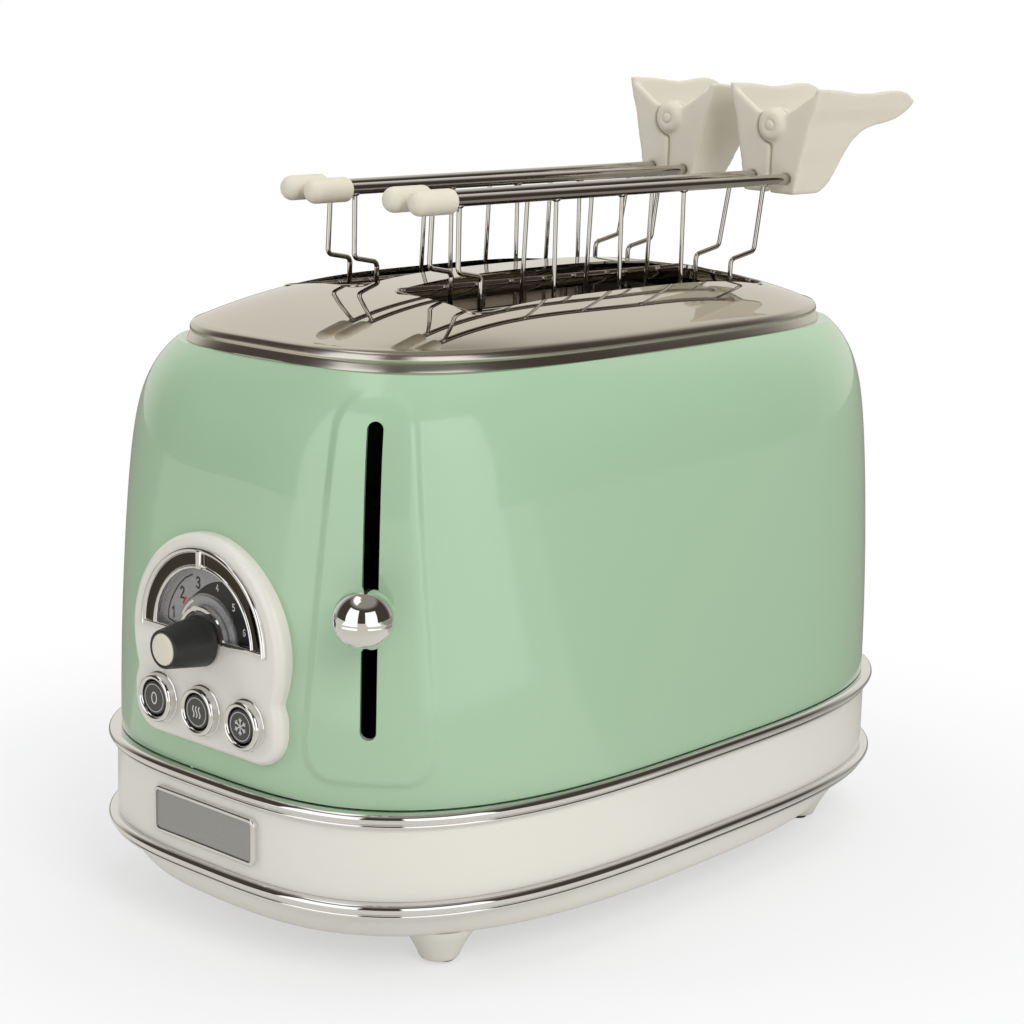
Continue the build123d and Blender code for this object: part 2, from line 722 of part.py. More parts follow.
WELL_X = (10.0, 46.5)
WELL_Y = (-66.0, 82.0)
RACK_SPOTS = (27.0, -29.0)
RACK_SLOT = (106.6, 202.6)
PLATES_TOP_Z = 204.4
FLOOR_BAR_Z = 106.5
TAB_Z = (79.0, 205.0)

with BuildPart() as chassis_base:
    extrude(plan_sketch(CHASSIS_Z, SHELL_HALF, 4).sketch, amount=SHEET)
    with Locations((0, 9, CHASSIS_Z)):
        Box(100, 158, 10, mode=Mode.SUBTRACT)
    with BuildSketch(Plane.XY.offset(CHASSIS_Z)):
        with GridLocations(2 * SCREW_AT[0], 2 * SCREW_AT[1], 2, 2):
            Circle(2.2)
    extrude(amount=SHEET, mode=Mode.SUBTRACT)
save(chassis_base, "chassis_base")

with BuildPart() as front_plate:
    plate_height = PLATES_TOP_Z - CHASSIS_Z - SHEET
    with Locations((0, PLATE_FRONT_Y + SHEET / 2, CHASSIS_Z + SHEET + plate_height / 2)):
        Box(114, SHEET, plate_height)
    with Locations((0, PLATE_FRONT_Y + 6, CHASSIS_Z + 1.5 * SHEET)):
        Box(114, 12, SHEET)
    with Locations(*[(x, PLATE_FRONT_Y, sum(RACK_SLOT) / 2) for x in RACK_SPOTS]):
        Box(RACK_WIDTH + 1.4, 10, RACK_SLOT[1] - RACK_SLOT[0], mode=Mode.SUBTRACT)
    with Locations(*[(-5, PLATE_FRONT_Y - 8.4, z + SHEET / 2) for z in TAB_Z]):
        Box(28, 17.2, SHEET)
    with Locations((-5, PLATE_FRONT_Y + SHEET / 2, (PLATES_TOP_Z - 1 + TAB_Z[1] + SHEET) / 2)):
        Box(28, SHEET, TAB_Z[1] + SHEET - PLATES_TOP_Z + 1)
save(front_plate, "front_plate")

with BuildPart() as rear_plate:
    with Locations((0, PLATE_REAR_Y + SHEET / 2, CHASSIS_Z + SHEET + plate_height / 2)):
        Box(114, SHEET, plate_height)
    with Locations((0, PLATE_REAR_Y - 4, CHASSIS_Z + 1.5 * SHEET)):
        Box(114, 8, SHEET)
    with Locations(*[(x, PLATE_REAR_Y, sum(RACK_SLOT) / 2) for x in RACK_SPOTS]):
        Box(RACK_WIDTH + 1.4, 10, RACK_SLOT[1] - RACK_SLOT[0], mode=Mode.SUBTRACT)
save(rear_plate, "rear_plate")

OVEN_LENGTH = PLATE_REAR_Y - PLATE_FRONT_Y - SHEET
OVEN_Y = (PLATE_REAR_Y + PLATE_FRONT_Y + SHEET) / 2
FLOOR_TOP_Z = OVEN_FLOOR_Z + SHEET
BOARD_TOP_Z = 200.0
SHIELD_X = 56.7
HEATER_SPOTS = (-52.8, -4.8, 4.8, 52.8)

with BuildPart() as oven_floor:
    with Locations((0, OVEN_Y, OVEN_FLOOR_Z + SHEET / 2)):
        Box(114, OVEN_LENGTH, SHEET)
    with Locations(*[(s * sum(WELL_X) / 2, sum(WELL_Y) / 2, OVEN_FLOOR_Z) for s in (-1, 1)]):
        Box(WELL_X[1] - WELL_X[0], WELL_Y[1] - WELL_Y[0], 10, mode=Mode.SUBTRACT)
    bar_spots = [(s * sum(WELL_X) / 2, y) for s in (-1, 1) for y in (-40, 14, 68)]
    with Locations(*[(x, y, (OVEN_FLOOR_Z + FLOOR_BAR_Z) / 2) for x, y in bar_spots]):
        Box(WELL_X[1] - WELL_X[0] + 2, 4, FLOOR_BAR_Z - OVEN_FLOOR_Z)
save(oven_floor, "oven_floor")

with BuildPart() as heat_shields:
    with Locations(*[(s * SHIELD_X, OVEN_Y, (FLOOR_TOP_Z + BOARD_TOP_Z) / 2) for s in (-1, 1)]):
        Box(0.6, OVEN_LENGTH, BOARD_TOP_Z - FLOOR_TOP_Z)
save(heat_shields, "heat_shields")

with BuildPart() as heater_boards:
    with Locations(*[(x, OVEN_Y, (FLOOR_TOP_Z + BOARD_TOP_Z) / 2) for x in HEATER_SPOTS]):
        Box(0.8, OVEN_LENGTH, BOARD_TOP_Z - FLOOR_TOP_Z)
save(heater_boards, "heater_boards")

# Flat heating wires, wound on the side of each board that faces the bread
WIRE_ROWS = 7
with BuildPart() as heater_wires:
    faces_in = ((-52.8, 1), (-4.8, -1), (4.8, 1), (52.8, -1))
    rows = [115 + k * 80 / (WIRE_ROWS - 1) for k in range(WIRE_ROWS)]
    with Locations(*[(x + side * 0.6, 8, z) for x, side in faces_in for z in rows]):
        Box(0.4, 152, 1.6)
save(heater_wires, "heater_wires")

# Fixed wire guides that keep bread off the heaters
GUIDE_OFFSET = 21.0
GUIDE_WIRE = 0.8
GUIDE_Z = (108.0, 203.0)
with BuildPart() as bread_guides:
    guide_spots = [s * SLOT_X + k * GUIDE_OFFSET for s in (-1, 1) for k in (-1, 1)]
    with BuildSketch(Plane.XZ.offset(-PLATE_REAR_Y)):
        with Locations(*[(x, z) for x in guide_spots for z in GUIDE_Z]):
            RegularPolygon(GUIDE_WIRE, 8)
    extrude(amount=OVEN_LENGTH)
    with BuildSketch(Plane.XY.offset(GUIDE_Z[0])):
        with Locations(*[(x, -66 + k * 24.6) for x in guide_spots for k in range(7)]):
            RegularPolygon(GUIDE_WIRE * 0.98, 8)
    extrude(amount=GUIDE_Z[1] - GUIDE_Z[0])
save(bread_guides, "bread_guides")


# Carriage, guide rod, lift spring and latch

with BuildPart() as guide_rod:
    with Locations((0, GUIDE_ROD_Y, TAB_Z[0] + SHEET)):
        Cylinder(2.5, TAB_Z[1] - TAB_Z[0] - SHEET, align=(Align.CENTER, Align.CENTER, Align.MIN))
save(guide_rod, "guide_rod")

CARRIAGE_Y = -98.3
LUG_Z = 118.0
with BuildPart() as carriage:
    with Locations((0, CARRIAGE_Y + SHEET / 2, 136)):
        Box(68, SHEET, 32)
    with Locations((-27, CARRIAGE_Y + SHEET / 2, 117)):
        Box(14, SHEET, 10)
    with Locations((0, GUIDE_ROD_Y, 128)):
        Cylinder(4.5, 20, align=(Align.CENTER, Align.CENTER, Align.MIN))
    with Locations((0, (GUIDE_ROD_Y + CARRIAGE_Y) / 2, 138)):
        Box(4, CARRIAGE_Y - GUIDE_ROD_Y, 20)
    with Locations((0, GUIDE_ROD_Y, 120)):
        Cylinder(2.5 + RUN_GAP, 40, align=(Align.CENTER, Align.CENTER, Align.MIN), mode=Mode.SUBTRACT)
    with Locations((-14, CARRIAGE_Y - 4.35, LUG_Z - 1)):
        Box(8, 8.7, 2)
    with Locations((-14, CARRIAGE_Y + SHEET / 2, LUG_Z + 1)):
        Box(8, SHEET, 6)
save(carriage, "carriage")

with BuildPart() as latch_plate:
    with Locations((-28, CARRIAGE_Y - 5.85, 113)):
        Box(12, 11.7, 2)
save(latch_plate, "latch_plate")

with BuildPart() as latch_magnet:
    with Locations((-28, -105, CHASSIS_Z + SHEET)):
        Box(16, 10, 3, align=(Align.CENTER, Align.CENTER, Align.MIN))
        Cylinder(4.6, 14.8, align=(Align.CENTER, Align.CENTER, Align.MIN))
save(latch_magnet, "latch_magnet")

with BuildPart() as lift_spring:
    with Locations((-14, GUIDE_ROD_Y, LUG_Z)):
        Cylinder(3.4, TAB_Z[1] - LUG_Z, align=(Align.CENTER, Align.CENTER, Align.MIN))
        Cylinder(2.4, TAB_Z[1] - LUG_Z, align=(Align.CENTER, Align.CENTER, Align.MIN), mode=Mode.SUBTRACT)
save(lift_spring, "lift_spring")

RACK_REAR_Y = 100.0
rack_front = CARRIAGE_Y + SHEET
rack_middle = ((rack_front + RACK_REAR_Y) / 2, RACK_Z + RACK_HEIGHT / 2)
with BuildPart() as bread_racks:
    with Locations(*[(x, *rack_middle) for x in RACK_SPOTS]):
        Box(RACK_WIDTH, RACK_REAR_Y - rack_front, RACK_HEIGHT)
    with Locations(*[(x, -64 + 12 * k, RACK_Z + RACK_HEIGHT) for x in RACK_SPOTS for k in range(13)]):
        Box(10, 5, 2.4, mode=Mode.SUBTRACT)
save(bread_racks, "bread_racks")

STEM_INNER = -30.0
STEM_OUTER = 7.0
ARM_Y = CARRIAGE_Y - 1.0
arm_reach = (LEVER_POINT[1] - ARM_Y) / cos(radians(LEVER_ANGLE))
arm_x = LEVER_POINT[0] + arm_reach * sin(radians(LEVER_ANGLE))

with BuildPart() as lever_stem:
    with BuildSketch(lever_plane.offset(STEM_INNER)):
        with Locations((0, LEVER_Z)):
            RectangleRounded(3.8, 9, 1)
    extrude(amount=STEM_OUTER - STEM_INNER)
save(lever_stem, "lever_stem")

with BuildPart() as lever_ball:
    ball_centre = lever_plane.origin + lever_plane.z_dir * BALL_REACH + Vector(0, 0, LEVER_Z)
    with Locations(ball_centre):
        Sphere(BALL_RADIUS)
    add(lever_stem.part, mode=Mode.SUBTRACT)
save(lever_ball, "lever_ball")

with BuildPart() as lever_arm:
    with BuildSketch(lever_plane.offset(STEM_INNER)):
        with Locations((0, LEVER_Z)):
            Rectangle(2, 10)
    extrude(amount=arm_reach - STEM_INNER)
    with Locations(((arm_x + 18) / 2, ARM_Y, LEVER_Z)):
        Box(arm_x - 18, 2, 10)
    with Locations((arm_x, ARM_Y, LEVER_Z)):
        Cylinder(1, 10)
save(lever_arm, "lever_arm")


# Sandwich tongs. Each is drawn upright about its pin and then leans toward +X.

CAGE_Z = 107.65
CAGE_FRONT_Y = -57.0
CAGE_REAR_Y = 80.0
CAGE_WIRE = 0.9
BAR_WIRE = 0.8
BAR_SPOTS = (-20.0, 15.0, 50.0)
BEND = 2.2
WALL = 3.0
LUG_RADIUS = 7.0
PIN_RADIUS = 2.0
LUG_GAP = 0.2
SEAM = 0.3
BOSS_RADIUS = 5.8
COIL_TURNS = 5
COIL_PITCH = 1.15
BOSS_DEPTH = 2.0
CAP_RADIUS = 4.3
CAP_LENGTH = 18.6
WING_FLARE = ((111.9, 0.0), (130.0, 0.3), (150.0, 1.3), (176.0, 3.0))  # (y, outward shift)
WING_OUTLINE = ((11.5, 240), (14.3, 255), (16.1, 262), (18.0, 271), (19.9, 276), (23.0, 288))  # (x, z)
pin_axis = Axis((0, 0, PIN_Z), (0, 1, 0))
toe_axis = Axis((ROD_OFFSET, HANDLE_Y, 0), (0, 0, 1))


def jaw_x(z):
    """Distance of a jaw from the tong's middle plane at height z."""
    return ROD_OFFSET + min(ROD_Z - z, ROD_Z - KINK_Z) * tan(radians(TONG_SPLAY))


def jaw_point(y, z):
    return (jaw_x(z), y, z)


def wire(points, radius):
    """Round wire through the points with small bends."""
    with BuildPart() as rod:
        with BuildLine() as path:
            FilletPolyline(*points, radius=BEND)
        with BuildSketch(Plane(origin=path.line @ 0, z_dir=path.line % 0)):
            Circle(radius)
        sweep()
    return rod.part


def tong_cage():
    """One jaw: rod, bent outer wire and three straight wires, on the +X side."""
    outline = [
        jaw_point(-68, ROD_Z),
        jaw_point(-68, 225.5),
        jaw_point(CAGE_FRONT_Y, 223),
        jaw_point(CAGE_FRONT_Y, CAGE_Z),
        jaw_point(CAGE_REAR_Y, CAGE_Z),
        jaw_point(CAGE_REAR_Y, 219),
        jaw_point(95, 222.5),
        jaw_point(99, ROD_Z),
    ]
    with BuildPart() as cage:
        with BuildSketch(facing_plane(HANDLE_Y + 2.5)):
            with Locations((ROD_OFFSET, ROD_Z)):
                Circle(ROD_RADIUS)
        extrude(amount=HANDLE_Y + 2.5 - CAP_TIP_Y - 4)
        add(wire(outline, CAGE_WIRE))
        for y in BAR_SPOTS:
            add(wire([jaw_point(y, ROD_Z), jaw_point(y, KINK_Z), jaw_point(y, CAGE_Z)], BAR_WIRE))
    return cage.part


def tong_handle(lug_in_front):
    """One grip on the +X side: a front wall with its lug, and a wing that flares back."""
    lug_back = HANDLE_Y + WALL if lug_in_front else HANDLE_Y + 2 * WALL + LUG_GAP
    with BuildPart() as grip:
        with BuildSketch(facing_plane(HANDLE_Y + WALL)):
            with BuildLine():
                Polyline((SEAM, PIN_Z + 4), (SEAM, 243), (12.0, 243), *WING_OUTLINE[1:-1], (22.0, 284))
                Spline((22.0, 284), (19, 282), (12.5, 277.8), (6.5, 274), (SEAM, PIN_Z + 4))
            make_face()
        extrude(amount=WALL)
        if not lug_in_front:
            with BuildSketch(facing_plane(HANDLE_Y + WALL)):
                with Locations((0, PIN_Z)):
                    Circle(LUG_RADIUS + 0.3)
            extrude(amount=WALL, mode=Mode.SUBTRACT)
            with Locations((11, HANDLE_Y + WALL + 1.6, PIN_Z - 1)):
                Box(7, 3.4, 10)
            with Locations((5, lug_back - WALL / 2, PIN_Z - 1)):
                Box(10, WALL, 10)
        with BuildSketch(facing_plane(lug_back)):
            with Locations((0, PIN_Z)):
                Circle(LUG_RADIUS)
        extrude(amount=WALL)
        if lug_in_front:
            with BuildSketch(facing_plane(HANDLE_Y)):
                with Locations((0, PIN_Z)):
                    Circle(BOSS_RADIUS)
            extrude(amount=BOSS_DEPTH)
            fillet(grip.faces().sort_by(Axis.Y)[0].edges(), 1.6)
        with BuildSketch(facing_plane(HANDLE_Y + 20)):
            with Locations((0, PIN_Z)):
                Circle(PIN_RADIUS + RUN_GAP)
        extrude(amount=21.7, mode=Mode.SUBTRACT)
        with BuildSketch(facing_plane(HANDLE_Y - 1)):
            with Locations((ROD_OFFSET, ROD_Z)):
                Circle(ROD_RADIUS)
        extrude(amount=-3.5, mode=Mode.SUBTRACT)
        add(tong_wing())
    return grip.part


def wing_section(y, shift):
    """Slanting strip that the wing follows at depth y."""
    with BuildSketch(facing_plane(y), mode=Mode.PRIVATE) as strip:
        with BuildLine():
            outer = [(x + shift, z) for x, z in WING_OUTLINE]
            inner = [(x - 2.8, z) for x, z in reversed(outer)]
            Polyline(*outer, *inner, close=True)
        make_face()
    return strip.sketch


def tong_wing():
    with BuildPart() as wing:
        with BuildSketch(Plane.YZ):
            with BuildLine():
                Line((112, 243), (128, 243))
                Spline((128, 243), (132, 245), (138, 254), (143, 263.5), (149, 267.6), (161, 270.2), (175, 278.4))
                Spline((175, 278.4), (172, 280.6), (145, 282), (128, 283.2), (112, 284))
                Line((112, 284), (112, 243))
            make_face()
        extrude(amount=40)
        flare = [wing_section(y, shift) for y, shift in WING_FLARE]
        loft(flare, mode=Mode.INTERSECT)
    return wing.part


def tong_cap():
    """Soft rounded cap on the free end of a rod, on the +X side."""
    with BuildPart() as cap:
        with BuildSketch(facing_plane(CAP_TIP_Y + CAP_LENGTH)):
            with Locations((ROD_OFFSET, ROD_Z)):
                Circle(CAP_RADIUS)
        extrude(amount=CAP_LENGTH)
        fillet(cap.faces().sort_by(Axis.Y)[0].edges(), 3.6)
        fillet(cap.faces().sort_by(Axis.Y)[-1].edges(), 1.8)
        with BuildSketch(facing_plane(CAP_TIP_Y + CAP_LENGTH + 1)):
            with Locations((ROD_OFFSET, ROD_Z)):
                Circle(ROD_RADIUS)
        extrude(amount=CAP_LENGTH + 1 - 4, mode=Mode.SUBTRACT)
    return cap.part


def tong_pin():
    """Headed pin with the coil of its spring round it."""
    with BuildPart() as pin:
        with BuildSketch(facing_plane(HANDLE_Y + 14)):
            with Locations((0, PIN_Z)):
                Circle(PIN_RADIUS)
        extrude(amount=15.4)
        with BuildSketch(facing_plane(HANDLE_Y + 14)):
            with Locations((0, PIN_Z)):
                Circle(3.8)
        extrude(amount=1)
        for k in range(COIL_TURNS):
            with Locations((0, HANDLE_Y + 7.3 + k * COIL_PITCH, PIN_Z)):
                Torus(PIN_RADIUS + 0.6, 0.6, rotation=(90, 0, 0))
    return pin.part


def place_tong(piece, toed_in, outer, spot):
    """Toe a rod in, mirror a piece for the inner jaw, lean it about the pin, stand it over a slot."""
    if toed_in:
        piece = piece.rotate(toe_axis, -TONG_TOE_IN)
    if not outer:
        piece = piece.mirror(Plane.YZ)
    leaning = piece.rotate(pin_axis, TONG_LEAN)
    return leaning.moved(Location((spot[0], spot[1], 0)))


jaw_pieces = (
    ("outer_handle", tong_handle(lug_in_front=True), False, True),
    ("inner_handle", tong_handle(lug_in_front=False), False, False),
    ("outer_cage", tong_cage(), True, True),
    ("inner_cage", tong_cage(), True, False),
    ("outer_cap", tong_cap(), True, True),
    ("inner_cap", tong_cap(), True, False),
    ("pin", tong_pin(), False, True),
)
for prefix, spot in TONG_SPOTS.items():
    for suffix, drawn, toed_in, outer in jaw_pieces:
        with BuildPart() as tong_piece:
            add(place_tong(drawn, toed_in, outer, spot))
        save(tong_piece, f"{prefix}_{suffix}")
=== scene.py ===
"""Two-slot toaster with sandwich tongs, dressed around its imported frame."""

from math import atan2, cos, pi, radians, sin, tan

import bmesh
import bpy
import numpy as np
from mathutils import Matrix, Vector


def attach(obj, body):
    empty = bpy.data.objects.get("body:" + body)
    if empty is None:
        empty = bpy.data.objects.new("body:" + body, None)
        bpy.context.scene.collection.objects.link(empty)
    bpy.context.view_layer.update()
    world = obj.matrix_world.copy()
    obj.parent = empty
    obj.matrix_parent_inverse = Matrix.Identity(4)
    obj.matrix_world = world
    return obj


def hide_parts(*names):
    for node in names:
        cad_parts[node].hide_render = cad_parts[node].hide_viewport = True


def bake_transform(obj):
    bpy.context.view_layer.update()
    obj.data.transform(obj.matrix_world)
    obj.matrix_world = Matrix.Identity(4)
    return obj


bl_info = {
    "name": "Toaster with sandwich tongs",
    "version": (1, 0, 0),
    "blender": (4, 5, 0),
    "location": "View3D > Sidebar > Toaster",
    "description": "Builds the pieces, finishes and stage of a two-slot toaster",
    "category": "Add Mesh",
}

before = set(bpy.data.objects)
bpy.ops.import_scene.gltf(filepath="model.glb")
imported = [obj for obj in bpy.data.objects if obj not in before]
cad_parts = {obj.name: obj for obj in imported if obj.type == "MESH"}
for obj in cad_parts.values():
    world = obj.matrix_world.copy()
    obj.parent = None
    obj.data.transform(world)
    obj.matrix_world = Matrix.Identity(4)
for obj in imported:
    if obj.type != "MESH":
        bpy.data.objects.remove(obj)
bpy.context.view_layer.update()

MM = 0.001
LOOP = 288  # points round a plan outline
PLAN_POWER = 3.2  # squareness of the base's plan
SHELL_POWER = 3.15  # squareness of the shell's foot
DOME_POWER = 3.3  # squareness of the steel top
DOME_DROP = 0.0170  # fall of the dome from its crown to its rim
PICTURE = 1024.0


# Settings


def length(name, value, about):
    return bpy.props.FloatProperty(name=name, default=value, unit="LENGTH", description=about)


def angle(name, degrees, about):
    return bpy.props.FloatProperty(name=name, default=radians(degrees), subtype="ANGLE", description=about)


def colour(name, value, about):
    return bpy.props.FloatVectorProperty(
        name=name, default=(*value, 1.0), size=4, subtype="COLOR", min=0.0, max=1.0, description=about
    )


class ToasterBodySizes(bpy.types.PropertyGroup):
    foot_half_length: length("Foot half length", 0.1488, "Half length of the shell's foot")
    foot_half_width: length("Foot half width", 0.0972, "Half width of the shell's foot")
    rim_half_length: length("Rim half length", 0.1267, "Half length of the steel top")
    rim_half_width: length("Rim half width", 0.0747, "Half width of the steel top")
    foot_z: length("Foot height", 0.0605, "Height of the shell's foot")
    rim_z: length("Rim height", 0.198, "Height where shell and steel meet")
    crown_z: length("Crown height", 0.220, "Highest point of the dome")
    field_raise: length("Lever field", 0.0012, "How far the field round the lever slot stands out")


class ToasterTongSizes(bpy.types.PropertyGroup):
    pin_z: length("Pin height", 0.269, "Height of the tongs' pin")
    rod_z: length("Rod height", 0.249, "Height of the tongs' rods")
    rod_offset: length("Rod offset", 0.008, "Distance of a rod from the tong's middle")
    rod_radius: length("Rod radius", 0.002, "Radius of a rod")
    wire_radius: length("Wire radius", 0.0009, "Radius of the bent outer wire")
    lean: angle("Lean", 1.5, "Lean of the tongs about their pins")
    splay: angle("Splay", 1.4, "Outward slope of a jaw above its bend")
    toe_in: angle("Toe-in", 0.6, "Turn of a wire jaw towards its partner")


class ToasterColours(bpy.types.PropertyGroup):
    enamel: colour("Enamel", (0.372, 0.552, 0.360), "Green of the body")
    cream: colour("Cream", (0.785, 0.757, 0.678), "Gloss cream of the base and panel")
    tong_cream: colour("Tong cream", (0.740, 0.690, 0.570), "Matte cream of the grips and caps")
    steel: colour("Steel", (0.640, 0.610, 0.540), "Domed steel top")
    chrome: colour("Chrome", (0.820, 0.815, 0.800), "Rings, ball and dial frame")


class ToasterStageSettings(bpy.types.PropertyGroup):
    azimuth: angle("Azimuth", 42.28, "Camera's way round the toaster")
    elevation: angle("Elevation", 12.64, "Camera's height above the horizon")
    roll: angle("Roll", 1.3, "Camera's turn about its view")
    distance: length("Distance", 0.87494, "Camera's distance from its target")
    focal_pixels: bpy.props.FloatProperty(
        name="Focal length", default=2342.67, description="Focal length in pixels of a 1024 pixel picture"
    )


def body_sizes():
    return bpy.context.scene.toaster_body


def tong_sizes():
    return bpy.context.scene.toaster_tongs


def colours():
    return bpy.context.scene.toaster_colours


# Meshes


def new_object(name, data):
    piece = bpy.data.objects.new(name, data)
    bpy.context.scene.collection.objects.link(piece)
    return piece


def mesh_from(name, shape):
    """Mesh from a bmesh, which is freed."""
    mesh = bpy.data.meshes.new(name)
    shape.to_mesh(mesh)
    shape.free()
    return mesh


def smooth(mesh, sharp):
    mesh.polygons.foreach_set("use_smooth", [True] * len(mesh.polygons))
    mesh.set_sharp_from_angle(angle=radians(sharp))


def add_piece(name, points, faces, sharp=35.0, merge=True):
    """Object from points in metres, its faces turned outwards; sharp is None for flat shading."""
    mesh = bpy.data.meshes.new(name)
    mesh.from_pydata([tuple(p) for p in points], [], faces)
    shape = bmesh.new()
    shape.from_mesh(mesh)
    if merge:
        bmesh.ops.remove_doubles(shape, verts=shape.verts, dist=1e-7)
    bmesh.ops.recalc_face_normals(shape, faces=shape.faces)
    shape.to_mesh(mesh)
    shape.free()
    if sharp is not None:
        smooth(mesh, sharp)
    return new_object(name, mesh)


def quads(a, b, count):
    """Faces between two closed loops whose points start at a and b."""
    return [(a + j, a + (j + 1) % count, b + (j + 1) % count, b + j) for j in range(count)]


def skin(rows, closed=False):
    """Points and faces of a surface through closed rows of equal count."""
    count = len(rows[0])
    faces = []
    for i in range(len(rows) if closed else len(rows) - 1):
        faces += quads(i * count, (i + 1) % len(rows) * count, count)
    if not closed:
        faces.append(tuple(range(count)))
        faces.append(tuple(range((len(rows) - 1) * count, len(rows) * count)))
    return [tuple(p) for row in rows for p in row], faces


def skinned(name, rows, sharp=35.0, closed=False):
    return add_piece(name, *skin(rows, closed), sharp)


def prism(name, low, high, sharp=35.0):
    """Closed piece between two equal outlines of points in metres."""
    count = len(low)
    ends = [tuple(range(count)), tuple(range(2 * count - 1, count - 1, -1))]
    return add_piece(name, [*low, *high], ends + quads(0, count, count), sharp)


def at(x, y, z):
    """Point in metres from millimetres."""
    return (x * MM, y * MM, z * MM)


def plate_between(name, outline, low, high):
    """Flat piece facing -Y: outline is (x, z) in mm, low and high are its depths."""
    return prism(name, [at(x, low, z) for x, z in outline], [at(x, high, z) for x, z in outline])


def upright(name, outline, low, high):
    """Prism with an outline in mm between two heights in mm."""
    return prism(name, [at(x, y, low) for x, y in outline], [at(x, y, high) for x, y in outline])


def plan_row(z, half, inset, power=PLAN_POWER, angles=None):
    """Plan outline at height z: half is (along Y, along X), drawn in by inset."""
    if angles is None:
        angles = np.linspace(0.0, 2 * pi, LOOP, endpoint=False)
    c = np.cos(angles)
    s = np.sin(angles)
    width = half[1] - inset
    depth = half[0] - inset
    reach = (np.abs(c / width) ** power + np.abs(s / depth) ** power) ** (-1 / power)
    return np.column_stack((reach * c, reach * s, np.full(len(angles), z)))


def top_row(half_x, half_y, z, angles=None):
    """Row of the steel top's plan at a height, all in metres."""
    return plan_row(z, (half_y, half_x), 0.0, DOME_POWER, angles)


def circle_row(centre, radius, across, up, count):
    turns = np.linspace(0.0, 2 * pi, count, endpoint=False)
    return [centre + across * (radius * cos(a)) + up * (radius * sin(a)) for a in turns]


def turned(name, profile, centre, axis, count=64, sharp=35.0):
    """Turned piece: profile is (radius, distance along the axis) in mm from one end to the other."""
    axis = Vector(axis).normalized()
    across = axis.orthogonal().normalized()
    up = axis.cross(across)
    rows = []
    for radius, along in profile:
        rows.append(circle_row(Vector(centre) + axis * (along * MM), max(radius * MM, 1e-6), across, up, count))
    return skinned(name, rows, sharp)


def front_turned(name, profile, x, y, z, count=64, sharp=35.0):
    return turned(name, profile, at(x, y, z), (0, 1, 0), count, sharp)


def front_ring(name, profile, x, y, z, sharp):
    """Turned ring facing -Y with a closed profile of (radius, depth) in mm."""
    rows = []
    for radius, along in profile:
        centre = Vector(at(x, y, z)) + Vector((0, along * MM, 0))
        rows.append(circle_row(centre, radius * MM, Vector((1, 0, 0)), Vector((0, 0, 1)), 96))
    return skinned(name, rows, sharp, closed=True)


def arc(centre, radius, start, end, steps=12):
    """Points on an arc, counter-clockwise from the first axis; angles are in degrees."""
    turns = [radians(start + (end - start) * k / steps) for k in range(steps + 1)]
    return [(centre[0] + radius * cos(a), centre[1] + radius * sin(a)) for a in turns]


def clock_arc(centre, radius, start, end, steps):
    """Points on an arc, clockwise from the top."""
    return arc(centre, radius, 90 - start, 90 - end, steps)


def rounded_rectangle(x, y, half_x, half_y, radius, steps=10):
    points = []
    for sx, sy, start in ((1, 1, 0), (-1, 1, 90), (-1, -1, 180), (1, -1, 270)):
        points += arc((x + sx * (half_x - radius), y + sy * (half_y - radius)), radius, start, start + 90, steps)
    return points


def rounded_box(name, low, high, radius=0.0005, segments=3):
    """Box from low to high corners in mm with rounded edges."""
    shape = bmesh.new()
    bmesh.ops.create_cube(shape, size=1.0)
    for vertex in shape.verts:
        vertex.co = [(low[i] + high[i]) / 2 * MM + vertex.co[i] * (high[i] - low[i]) * MM for i in range(3)]
    bmesh.ops.bevel(shape, geom=shape.edges, offset=radius, segments=segments, affect="EDGES", profile=0.5)
    mesh = mesh_from(name, shape)
    smooth(mesh, 50)
    return new_object(name, mesh)


def join(name, pieces, sharp=None):
    """One object from several, which are removed."""
    shape = bmesh.new()
    for piece in pieces:
        shape.from_mesh(piece.data)
    mesh = mesh_from(name, shape)
    for piece in pieces:
        old = piece.data
        bpy.data.objects.remove(piece)
        bpy.data.meshes.remove(old)
    if sharp is not None:
        smooth(mesh, sharp)
    return new_object(name, mesh)


def settle(piece):
    """Applies the piece's modifiers and leaves a plain mesh."""
    graph = bpy.context.evaluated_depsgraph_get()
    mesh = bpy.data.meshes.new_from_object(piece.evaluated_get(graph))
    piece.modifiers.clear()
    old = piece.data
    piece.data = mesh
    mesh.name = piece.name
    bpy.data.meshes.remove(old)
    return piece


def cut(piece, *cutters, sharp=35.0):
    """Takes the cutters out of the piece and removes them."""
    for cutter in cutters:
        modifier = piece.modifiers.new("cut", "BOOLEAN")
        modifier.operation = "DIFFERENCE"
        modifier.solver = "EXACT"
        modifier.object = cutter
    settle(piece)
    for cutter in cutters:
        bpy.data.objects.remove(cutter)
    smooth(piece.data, sharp)
    return piece


def finish(piece, material, body, slot, *nodes):
    """Gives a finished piece its material and its body and hides the nodes it stands for; the slot is not used."""
    piece.data.materials.clear()
    piece.data.materials.append(material)
    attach(piece, body)
    if nodes:
        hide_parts(*nodes)
    return piece


# Node trees


def kept(name):
    """Builds a node tree once, under its name, and gives the same one after that."""

    def wrap(build):
        return lambda: bpy.data.node_groups.get(name) or build(name)

    return wrap


def feed(tree, node, inputs):
    """Gives each input of a node its value, or links it from a socket."""
    for label, value in inputs.items():
        if isinstance(value, bpy.types.NodeSocket):
            tree.links.new(value, node.inputs[label])
        else:
            node.inputs[label].default_value = value


def add_node(tree, kind, inputs=None, **settings):
    node = tree.nodes.new(kind)
    for label, value in settings.items():
        setattr(node, label, value)
    feed(tree, node, inputs or {})
    return node


